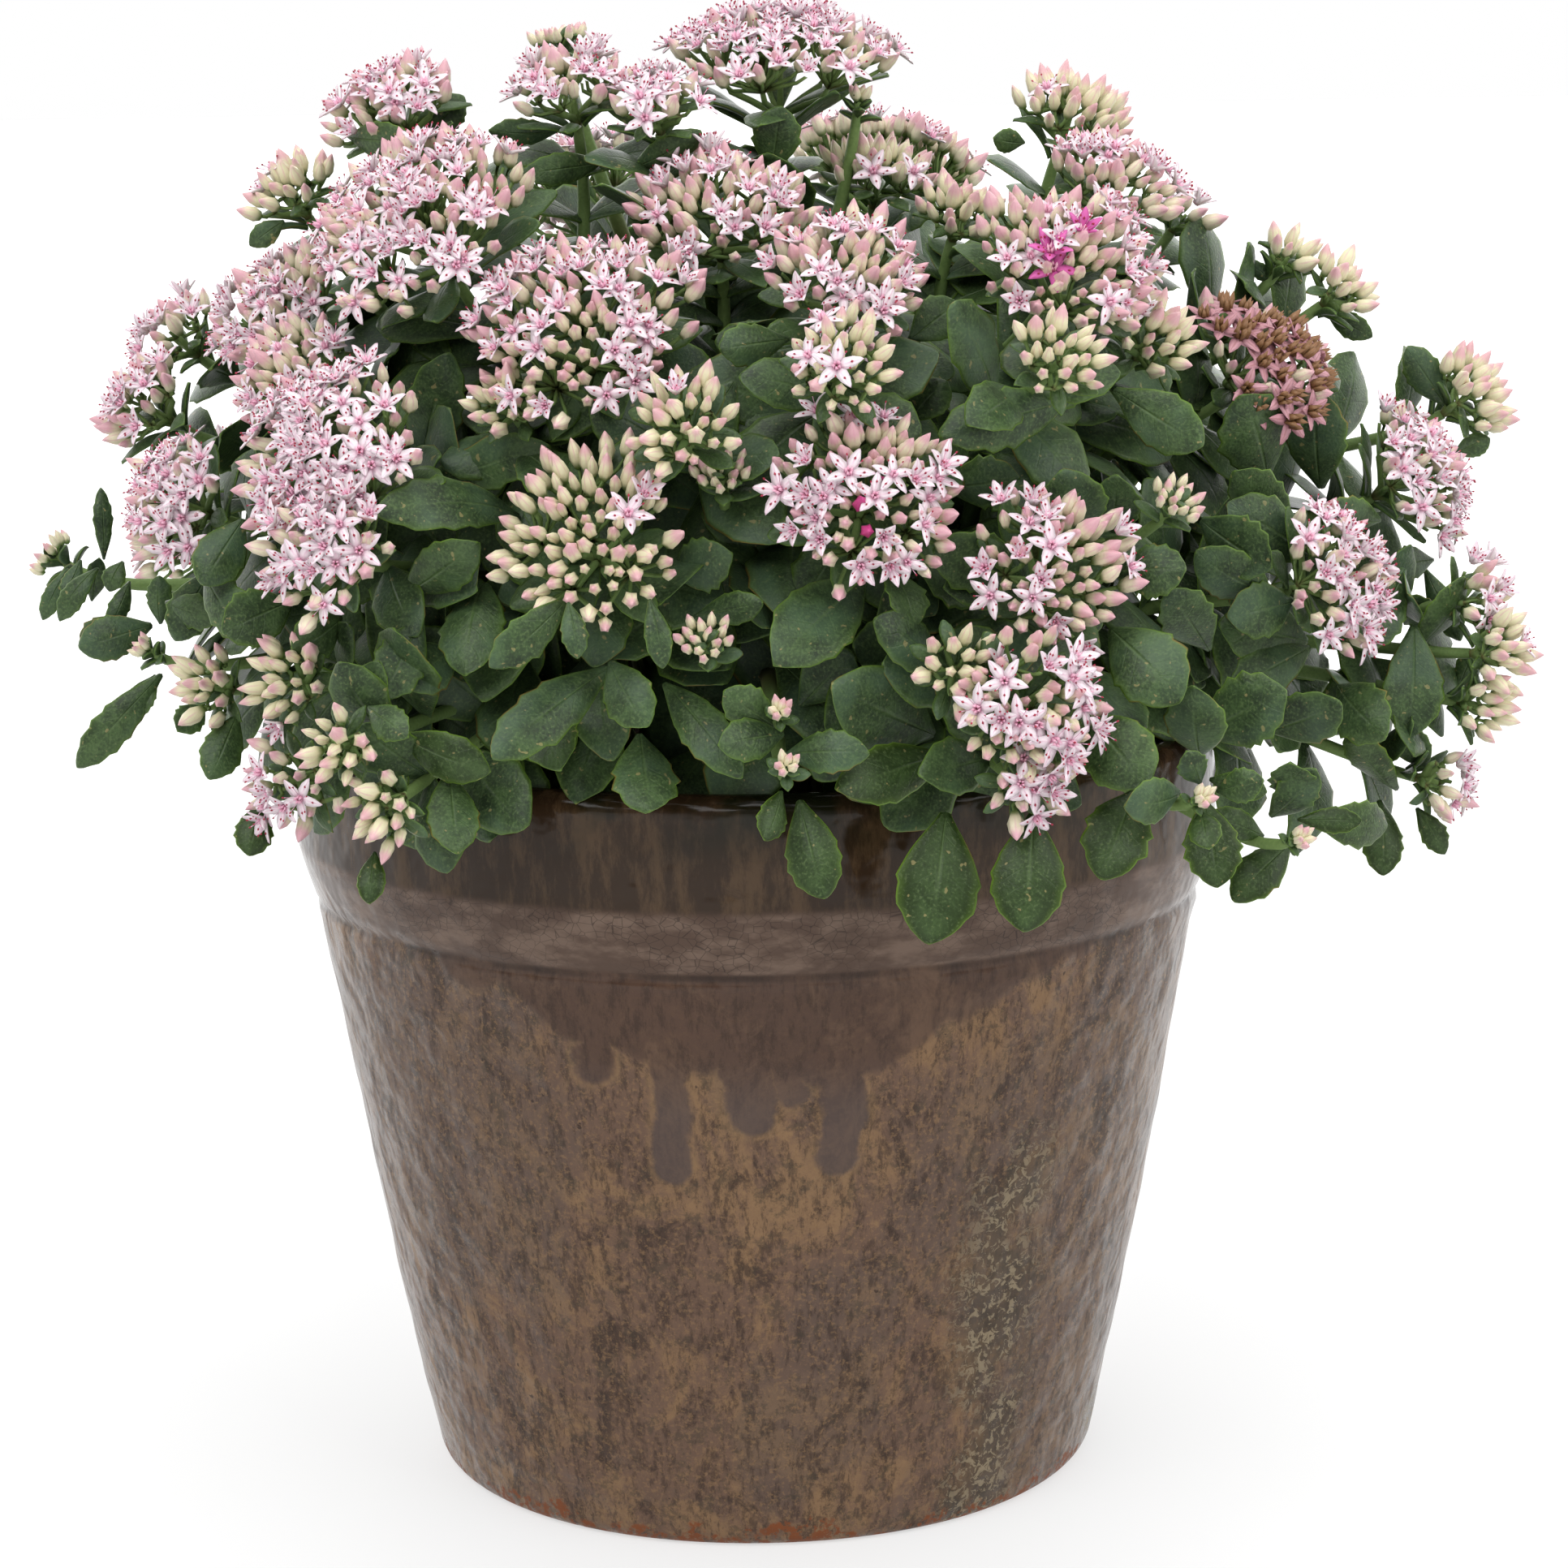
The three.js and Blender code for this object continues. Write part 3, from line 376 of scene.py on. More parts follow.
def makeStemMaterial(name):
    material, tree, shader = newMaterial(name)
    low, high, foot = coloursOf(name)
    speckle, grain = fleckOutputs(tree, 1100, 0.4)
    green = mixed(tree, total(tree, 0.0, (mask(tree, "tone"), 0.5), (speckle, 0.4)), low, high)
    green = laid(tree, green, foot, fade(tree, mask(tree, "along"), 0.35, 0.0), 0.6)
    dress(tree, shader, green, 0.6, grain, 0.0003, shine=0.2)
    return material


# Petals: near-white pink with a mauve keel and rosy base; tone runs from pale to deep pink
def makePetalMaterial(name):
    material, tree, shader = newMaterial(name)
    pale, deep, keel, strong = coloursOf(name)
    along, edge, tone = (mask(tree, key) for key in maskNames)
    speckle, grain = fleckOutputs(tree, 2600, 0.3)
    colour = mixed(tree, total(tree, 0.0, (tone, 0.6), (speckle, 0.25)), pale, deep)
    colour = laid(tree, colour, keel, fade(tree, edge, 0.3, 0.0), fade(tree, along, 0.1, 0.5), 0.55)
    colour = laid(tree, colour, keel, fade(tree, along, 0.3, 0.05), 0.5)
    colour = laid(tree, colour, keel, fade(tree, along, 0.84, 1.0), 0.45)
    colour = laid(tree, colour, strong, fade(tree, tone, 0.965, 0.98))
    dress(tree, shader, colour, 0.5, grain, 0.0002)
    return material


def makeCarpelMaterial(name):
    material, tree, shader = newMaterial(name)
    speckle, grain = fleckOutputs(tree, 2200, 0.4)
    colour = mixed(tree, total(tree, 0.0, (speckle, 0.3), (mask(tree, "along"), 0.7)), *coloursOf(name))
    dress(tree, shader, colour, 0.5, grain, 0.0002)
    return material


# Stamens: pale threads that end in a dark red anther
def makeStamenMaterial(name):
    material, tree, shader = newMaterial(name)
    threadPale, threadDeep, redDark, redLight = coloursOf(name)
    speckle, grain = fleckOutputs(tree, 3000, 0.3)
    thread = mixed(tree, times(tree, speckle, 0.5), threadPale, threadDeep)
    anther = mixed(tree, speckle, redDark, redLight)
    colour = mixed(tree, fade(tree, mask(tree, "along"), 0.7, 0.8), thread, anther)
    dress(tree, shader, colour, 0.55, grain, 0.0002, 0.4)
    return material


# Buds: green foot, cream body with five ribs, rosy tip; tone says how far the rose runs down
def makeBudMaterial(name):
    material, tree, shader = newMaterial(name)
    cream, rose, green = coloursOf(name)
    light, strong = coloursOf("budShine")
    along, edge, tone = (mask(tree, key) for key in maskNames)
    speckle, grain = fleckOutputs(tree, 2200, 0.3)
    body = laid(tree, cream, light, speckle, 0.4)
    start = total(tree, 0.92, (tone, -0.62))
    body = laid(tree, body, rose, fade(tree, along, start, calc(tree, "ADD", start, 0.28)), 0.8)
    body = laid(tree, body, rose, fade(tree, edge, 0.35, 0.0), fade(tree, along, 0.2, 0.7), 0.5)
    body = laid(tree, body, green, fade(tree, along, 0.34, 0.08))
    body = laid(tree, body, strong, fade(tree, tone, 0.965, 0.98))
    dress(tree, shader, body, 0.42, grain, 0.0002)
    return material


leafMaterial, bractMaterial = makeLeafMaterial("leafGreen"), makeLeafMaterial("bractGreen", 0.3)
stemMaterial, stamenMaterial = makeStemMaterial("stemGreen"), makeStamenMaterial("stamens")
petalMaterial, spentPetalMaterial = makePetalMaterial("palePetals"), makePetalMaterial("spentPetals")
carpelMaterial, spentCarpelMaterial = makeCarpelMaterial("carpels"), makeCarpelMaterial("spentCarpels")
budMaterial, paleBudMaterial = makeBudMaterial("buds"), makeBudMaterial("paleBuds")
print("plant materials made")


# Skin swept along one axis: ring = path + cos * wide * side + sin * deep * up, and the turn of each column
def sweepForm(path, side, up, wide, deep, cols):
    turn = 2 * np.pi * np.arange(cols) / cols
    rings = (path[:, None] + np.cos(turn)[:, None] * (wide[:, None] * side)[:, None]
             + np.sin(turn)[:, None] * (deep[:, None] * up)[:, None])
    return rings, turn


# One closed form with its masks and the number of its material
def formOf(rings, first, last, along, edge, skin):
    quads, tris = skinFaces(*rings.shape[:2])
    points = skinPoints(rings[None], first[None], last[None])[0]
    return {"points": points, "quads": quads, "tris": tris, "along": along, "edge": edge,
            "quadSkin": np.full(len(quads), skin), "triSkin": np.full(len(tris), skin)}


def joinForms(forms):
    shift = np.concatenate([[0], np.cumsum([len(f["points"]) for f in forms])])
    whole = ("points", "along", "edge", "quadSkin", "triSkin")
    joined = {key: np.concatenate([f[key] for f in forms]) for key in whole}
    for key in ("quads", "tris"):
        joined[key] = np.concatenate([f[key] + shift[i] for i, f in enumerate(forms)])
    return joined


def turnedForm(form, angle):
    c, s = math.cos(angle), math.sin(angle)
    return dict(form, points=form["points"] @ np.array([[c, s, 0], [-s, c, 0], [0, 0, 1]]))


# Floret sizes, in millimetres: a petal's length and width, a stamen, a carpel and a bud; angles in degrees
floret = {"petal": 6.5, "petalWidth": 3.0, "stamen": 5.4, "carpel": 2.9, "budLength": 9.0, "budWidth": 4.0,
          "budRibs": 0.15, "open": (34, 52, 68, 84), "spent": ((60, 1.7), (84, 1.9)), "buds": (1.0, 0.84)}
# Material numbers in a bloom and in a leafy bunch
bloomSkins = {"petal": 0, "carpel": 1, "stamen": 2, "bud": 3, "stem": 4}
leafSkins = {"leaf": 0, "stem": 1, "bract": 2, "bud": 3}


# One petal: a keeled blade, swept along a line that leaves the floret's axis at the opening and curls back
def petalForm(opening):
    s = np.array([0.04, 0.3, 0.62, 0.9])
    lean = np.radians(opening) + 0.35 * (s - 0.4)
    step = np.diff(np.concatenate([[0], s])) * floret["petal"]
    out, rise = np.cumsum(step * np.sin(lean)), np.cumsum(step * np.cos(lean))
    path = np.stack([out + 0.5, 0 * s, rise], -1)
    up = np.stack([-np.cos(lean), 0 * s, np.sin(lean)], -1)
    side = np.tile([0.0, 1, 0], (4, 1))
    wide = floret["petalWidth"] / 2 * np.array([0.6, 1.0, 0.86, 0.34])
    rings, turn = sweepForm(path, side, -up, wide, np.array([0.3, 0.3, 0.28, 0.2]), 4)
    rings[:, [0, 2]] += 0.35 * up[:, None]  # the margins stand up on both sides of the keel
    last = path[-1] + 0.1 * floret["petal"] * np.array([math.sin(lean[-1]), 0, math.cos(lean[-1])])
    edge = np.concatenate([np.tile(np.abs(np.cos(turn)), 4), [0.3, 0.2]])
    along = np.concatenate([np.repeat(s, 4), [0, 1]])
    return formOf(rings, np.array([0.3, 0, 0.0]), last, along, edge, bloomSkins["petal"])


# Stamen: a straight thread from the middle that swells into its anther
def stamenForm(opening, angle):
    lean = math.radians(opening)
    way = np.array([math.sin(lean), 0, math.cos(lean)])
    path = np.array([0.84, 0.93])[:, None] * way * floret["stamen"]
    side, up = np.tile([0.0, 1, 0], (2, 1)), np.tile([-math.cos(lean), 0, math.sin(lean)], (2, 1))
    wide = np.array([0.15, 0.34])
    rings = sweepForm(path, side, -up, wide, wide, 3)[0]
    along = np.concatenate([np.repeat([0.72, 0.95], 3), [0, 1]])
    form = formOf(rings, 0.2 * way, way * floret["stamen"], along, 0 * along, bloomSkins["stamen"])
    return turnedForm(form, angle)


# Anther that lies on a petal: one ring and two poles
def antherForm(opening, angle):
    lean = math.radians(opening)
    up = np.array([-math.cos(lean), 0, math.sin(lean)])
    way = np.array([math.sin(lean), 0, math.cos(lean)])
    spot = [0.5, 0, 0] + 0.56 * floret["petal"] * way + 0.45 * up
    side = np.array([[0.0, 1, 0]])
    rings = sweepForm(spot[None], side, -up[None], np.array([0.34]), np.array([0.3]), 4)[0]
    form = formOf(rings, spot - 0.45 * way, spot + 0.45 * way, np.ones(6), np.zeros(6), bloomSkins["stamen"])
    return turnedForm(form, angle)


# Carpel: a short cone beside the axis, thicker in a spent floret
def carpelForm(angle, swell=1.0):
    path = np.array([[0.55, 0, 0.4], [0.75, 0, 1.6]]) * [swell, 1, swell]
    side, up = np.tile([0.0, 1, 0], (2, 1)), np.tile([-1.0, 0, 0.2], (2, 1))
    wide = np.array([0.62, 0.5]) * swell
    rings = sweepForm(path, side, -up, wide, wide, 3)[0]
    along = np.concatenate([np.repeat([0.2, 0.6], 3), [0, 1]])
    last = np.array([0.95, 0, floret["carpel"]]) * swell
    form = formOf(rings, np.array([0.3, 0, 0.0]), last, along, 0 * along, bloomSkins["carpel"])
    return turnedForm(form, angle)


# Floret: five petals with carpels between them, and ten stamens unless it is spent
def floretForm(opening, swell=1.0, stamens=True):
    forms = []
    for k in range(5):
        angle = 2 * math.pi * k / 5
        forms.append(turnedForm(petalForm(opening), angle))
        forms.append(carpelForm(angle + math.pi / 5, swell))
        if stamens:
            forms.append(antherForm(opening, angle))
            forms.append(stamenForm(opening * 0.55 + 6, angle + math.pi / 5))
    return joinForms(forms)


# Bud: a spindle of ten columns, every second one a rib; radius = profile * (1 + rib)
def budForm(fat=1.0):
    s = np.array([0.1, 0.36, 0.66, 0.9])
    wide = floret["budWidth"] / 2 * fat * np.array([0.62, 1.0, 0.82, 0.3])
    turn = 2 * np.pi * np.arange(10) / 10
    reach = wide[:, None] * (1 + floret["budRibs"] * np.cos(5 * turn))
    height = s[:, None] * floret["budLength"] + 0 * reach
    rings = np.stack([reach * np.cos(turn), reach * np.sin(turn), height], -1)
    along = np.concatenate([np.repeat(s, 10), [0, 1]])
    edge = np.concatenate([np.tile(0.5 + 0.5 * np.cos(5 * turn), 4), [0.5, 1]])
    return formOf(rings, np.zeros(3), np.array([0, 0, floret["budLength"]]), along, edge, bloomSkins["bud"])


openForms = [floretForm(opening) for opening in floret["open"]]
spentForms = [floretForm(opening, swell, False) for opening, swell in floret["spent"]]
budForms = [budForm(fat) for fat in floret["buds"]]


# Copies of a form: point = origin + scale * (x X + y Y + z Z), for all origins at once
def stamp(pile, form, origins, axes, scales, tones):
    if not len(origins):
        return
    points = origins[:, None] + scales[:, None, None] * np.einsum("vk,nkj->nvj", form["points"], axes)
    heapUp(pile, points, form["quads"], form["tris"], form["along"][None], form["edge"][None],
           tones[:, None], (form["quadSkin"], form["triSkin"]))


# Cubic curve with s = 1 - t: place = s^3 a + 3 s^2 t b + 3 s t^2 c + t^3 d, then its direction
def curveAt(a, b, c, d, t):
    s = 1 - t
    place = s**3 * a + 3 * s * s * t * b + 3 * s * t * t * c + t**3 * d
    return place, 3 * s * s * (b - a) + 6 * s * t * (c - b) + 3 * t * t * (d - c)


# Tubes along cubic curves, one for each row of four corners: ring = place + radius (cos * x + sin * y),
# where the radius runs from the first thickness to the last
def stampTubes(pile, corners, thickness, rows, cols, tones, skin):
    t = np.linspace(0, 1, rows)[None, :, None]
    path, way = curveAt(*(corners[:, i][:, None] for i in range(4)), t)
    axes = axesAbout(unit(way + 1e-6))
    turn = 2 * np.pi * np.arange(cols)[:, None] / cols
    first, last = thickness
    radius = (first + (last - first) * t)[..., None]
    x, y = axes[:, :, None, 0], axes[:, :, None, 1]
    rings = path[:, :, None] + radius * (np.cos(turn) * x + np.sin(turn) * y)
    points = skinPoints(rings, path[:, 0], path[:, -1])
    along = rowMask(np.linspace(0, 1, rows), cols, 0, 1)
    heapUp(pile, points, *skinFaces(rows, cols), along, 0 * along, tones[:, None], skin)


# Leaves: the width swells up to the peak and closes to a blunt tip, with a saw of teeth on each side.
# point = foot + s L d + a w x + (bend 4 s (1-s) L + fold w |a| + droop s^2 L + ripple) n + thickness,
# where s runs along the leaf, a across it from -1 to 1, L is its length and w its half width
leafForm = {"peak": 0.6, "base": 0.12, "teeth": 0.2, "saw": (2.8, 4.2), "thick": 2.2, "rimThick": 0.5,
            "ripple": 0.028, "groove": 0.35, "fold": (-0.26, 0.2), "bend": (0.02, 0.13),
            "droop": (-0.14, 0.05)}


def stampLeaves(pile, feet, ends, facing, widths, rows, cols, toothed=True, skin=leafSkins["leaf"],
                warm=0.0, peak=None):
    form, count = leafForm, len(feet)
    if not count:
        return
    length = np.linalg.norm(ends - feet, axis=-1)[:, None, None]
    d = unit(ends - feet)
    x = unit(np.cross(d, facing))
    n = np.cross(x, d)
    top = peak or form["peak"]
    s = np.concatenate([[0.015], np.linspace(0.07, 0.965, rows - 2), [0.99]])
    rise = np.clip(s / top, 0, 1)
    shut = np.clip((s - top) / (1 - top), 0, 1)
    outline = (form["base"] + (1 - form["base"]) * np.sin(np.pi / 2 * rise) ** 1.25) * (1 - shut**2.1) ** 0.76
    turn = 2 * np.pi * np.arange(cols) / cols
    a, h = np.cos(turn), np.sin(turn)
    t = s[None, :, None]
    saw = rng.uniform(*form["saw"], (count, 1, 1)) * (t - 0.3) / 0.62 + rng.uniform(0, 1, (count, 1, 2))
    saw = (saw % 1) ** 1.3 - 0.5
    band = smooth(0.34, 0.5, t) * (1 - smooth(0.88, 0.97, t)) * toothed
    sides = 1 + form["teeth"] * rng.uniform(0.5, 1.2, (count, 1, 1)) * band * saw
    half = widths[:, None, None] / 2 * outline[None, :, None]
    half = half * np.where(a >= 0, sides[..., :1], sides[..., 1:])
    fold, bend, droop = (rng.uniform(*form[key], (count, 1, 1)) for key in ("fold", "bend", "droop"))
    swing = np.sin(7 * t + rng.uniform(0, 6, (count, 1, 1)) + 2.0 * (a > 0))
    ripple = form["ripple"] * length * swing * a**2 * t
    thick = (form["rimThick"] + (form["thick"] - form["rimThick"]) * (1 - a**2)) / 2
    thick = thick * (1 - 0.5 * smooth(0.6, 1, t))
    groove = form["groove"] * np.exp(-(a / 0.25) ** 2) * (h < 0) * (1 - t)
    lift = bend * 4 * t * (1 - t) * length + fold * half * np.abs(a) + droop * t**2 * length + ripple
    offN = lift - np.sign(h) * thick * np.sqrt(np.abs(h)) - groove
    rings = feet[:, None, None] + (t * length)[..., None] * d[:, None, None]
    rings = rings + (a * half)[..., None] * x[:, None, None] + offN[..., None] * n[:, None, None]
    last = ends + (droop * length)[:, 0] * n
    along = rowMask(s, cols, 0, 1)
    edge = np.concatenate([np.tile(np.abs(a), rows), [0.6, 1.0]])[None]
    edge = np.maximum(edge, smooth(0.95, 1, along))
    tones = np.clip(rng.uniform(0, 0.6, (count, 1)) + warm, 0, 1)
    heapUp(pile, skinPoints(rings, feet, last), *skinFaces(rows, cols), along, edge, tones, skin)


# Leafy bunches, one for each slice round the pot, as in the frame; all leaves, stems and tips stay in them
bunch = {"slices": 8, "squash": 0.86, "crown": 66, "soilTop": 206, "middle": (0, 0, 180)}
coreLine = np.array([[100, 206.6], [100, 224], [130, 227], [143, 250], [141, 284], [120, 314], [84, 338],
                     [40, 350], [0, 353]])
middle = np.array(bunch["middle"])
greens = [newPile() for _ in range(bunch["slices"])]
golden = math.pi * (3 - math.sqrt(5))


def coreRadius(z):
    return np.interp(z, coreLine[:, 1], coreLine[:, 0], left=0, right=0)


def sliceOf(points):
    turn = np.arctan2(points[..., 1] / bunch["squash"], points[..., 0]) / (2 * np.pi) * bunch["slices"]
    return np.floor(turn).astype(int) % bunch["slices"]


# Directions at these turns round a normal: cos * x axis + sin * y axis
def fan(turns, axes):
    return np.cos(turns)[:, None] * axes[0] + np.sin(turns)[:, None] * axes[1]


# Leaves given to the bunch whose slice their place falls in, one bunch after the other
def shareLeaves(place, feet, ends, facing, widths, rows, cols, warm=None):
    which = sliceOf(place)
    for k in range(bunch["slices"]):
        own = which == k
        tone = 0.0 if warm is None else warm[own][:, None]
        stampLeaves(greens[k], feet[own], ends[own], facing[own], widths[own], rows, cols, warm=tone)


# Flower heads: number, across and down in the front view, width there, depth y, kind, and how far the face
# leans up (+) or down (-). Kinds: o open florets, h half open, m some open among buds, b buds, s spent.
# A number that stands twice is one head of two domes.
heads = [
    (1, 962, 58, 262, -15, "o", 0.6), (2, 700, 92, 150, -50, "h", 0.5), (2, 808, 112, 120, -58, "o", 0.3),
    (3, 478, 118, 165, -40, "m", 0.2), (4, 352, 222, 118, -25, "b", 0.2), (5, 1325, 125, 140, -20, "b", 0.3),
    (6, 1085, 198, 135, -10, "b", 0.2), (7, 515, 262, 285, -84, "h", 0), (8, 885, 250, 215, -72, "m", 0),
    (9, 1045, 340, 200, -118, "m", 0), (10, 1040, 442, 145, -150, "b", -0.1),
    (11, 1187, 250, 112, -50, "b", 0.1), (12, 1320, 315, 230, -108, "m", 0),
    (13, 1312, 436, 125, -146, "b", -0.1), (14, 1428, 408, 120, -98, "b", 0),
    (15, 1380, 212, 170, -52, "m", 0.1), (48, 1466, 250, 78, -8, "o", 0.1), (16, 712, 395, 275, -118, "h", 0),
    (17, 842, 515, 140, -152, "b", 0), (18, 620, 487, 105, -124, "b", 0), (19, 335, 375, 195, -50, "h", 0),
    (20, 352, 455, 165, -88, "m", 0), (21, 402, 560, 255, -122, "o", -0.1),
    (22, 392, 680, 180, -140, "o", -0.2), (23, 205, 402, 118, -5, "o", 0.1), (23, 165, 490, 135, -22, "m", 0),
    (24, 206, 612, 165, -70, "o", -0.1), (25, 245, 845, 105, -85, "b", -0.1),
    (26, 345, 838, 118, -122, "b", -0.1), (27, 408, 922, 104, -156, "b", -0.2),
    (28, 350, 975, 130, -125, "o", -0.4), (29, 466, 1002, 108, -158, "b", -0.4),
    (30, 722, 655, 235, -152, "b", 0.1), (31, 1070, 610, 232, -152, "m", -0.1),
    (32, 1303, 695, 205, -150, "m", 0), (33, 1278, 875, 195, -172, "h", -0.2),
    (33, 1186, 822, 115, -168, "b", -0.1), (49, 1270, 978, 108, -170, "o", -0.4),
    (34, 1655, 710, 185, -96, "h", -0.1), (35, 1758, 580, 185, -38, "o", 0),
    (36, 1825, 478, 125, -12, "b", 0.1), (37, 1598, 300, 76, -22, "b", 0.3), (37, 1664, 345, 96, -28, "b", 0),
    (38, 1566, 442, 200, -56, "s", 0), (39, 1838, 735, 105, -56, "m", -0.1),
    (39, 1862, 805, 110, -66, "b", -0.2), (50, 1842, 872, 96, -66, "b", -0.3),
    (40, 1792, 970, 105, -66, "o", -0.3),
]
# Heads of the sides and the back: number, x, y, z, width in millimetres, kind
backHeads = [
    (41, -96, 152, 292, 60, "o"), (42, -26, 165, 266, 62, "m"), (43, 62, 157, 294, 60, "o"),
    (44, 140, 117, 278, 60, "m"), (45, -52, 104, 366, 62, "o"), (46, 44, 96, 372, 64, "m"),
    (47, -172, 78, 272, 54, "o"),
]
# Small green tips that stay with their leafy stem: across, down, width, depth
tips = [
    (890, 585, 95, -140), (66, 684, 88, 32), (180, 800, 62, -40), (870, 790, 92, -158), (968, 945, 66, -170),
    (1450, 618, 98, -128), (1478, 985, 46, -165), (1598, 1035, 46, -148), (690, 48, 92, -12),
    (1058, 122, 62, -20), (960, 878, 52, -165),
]
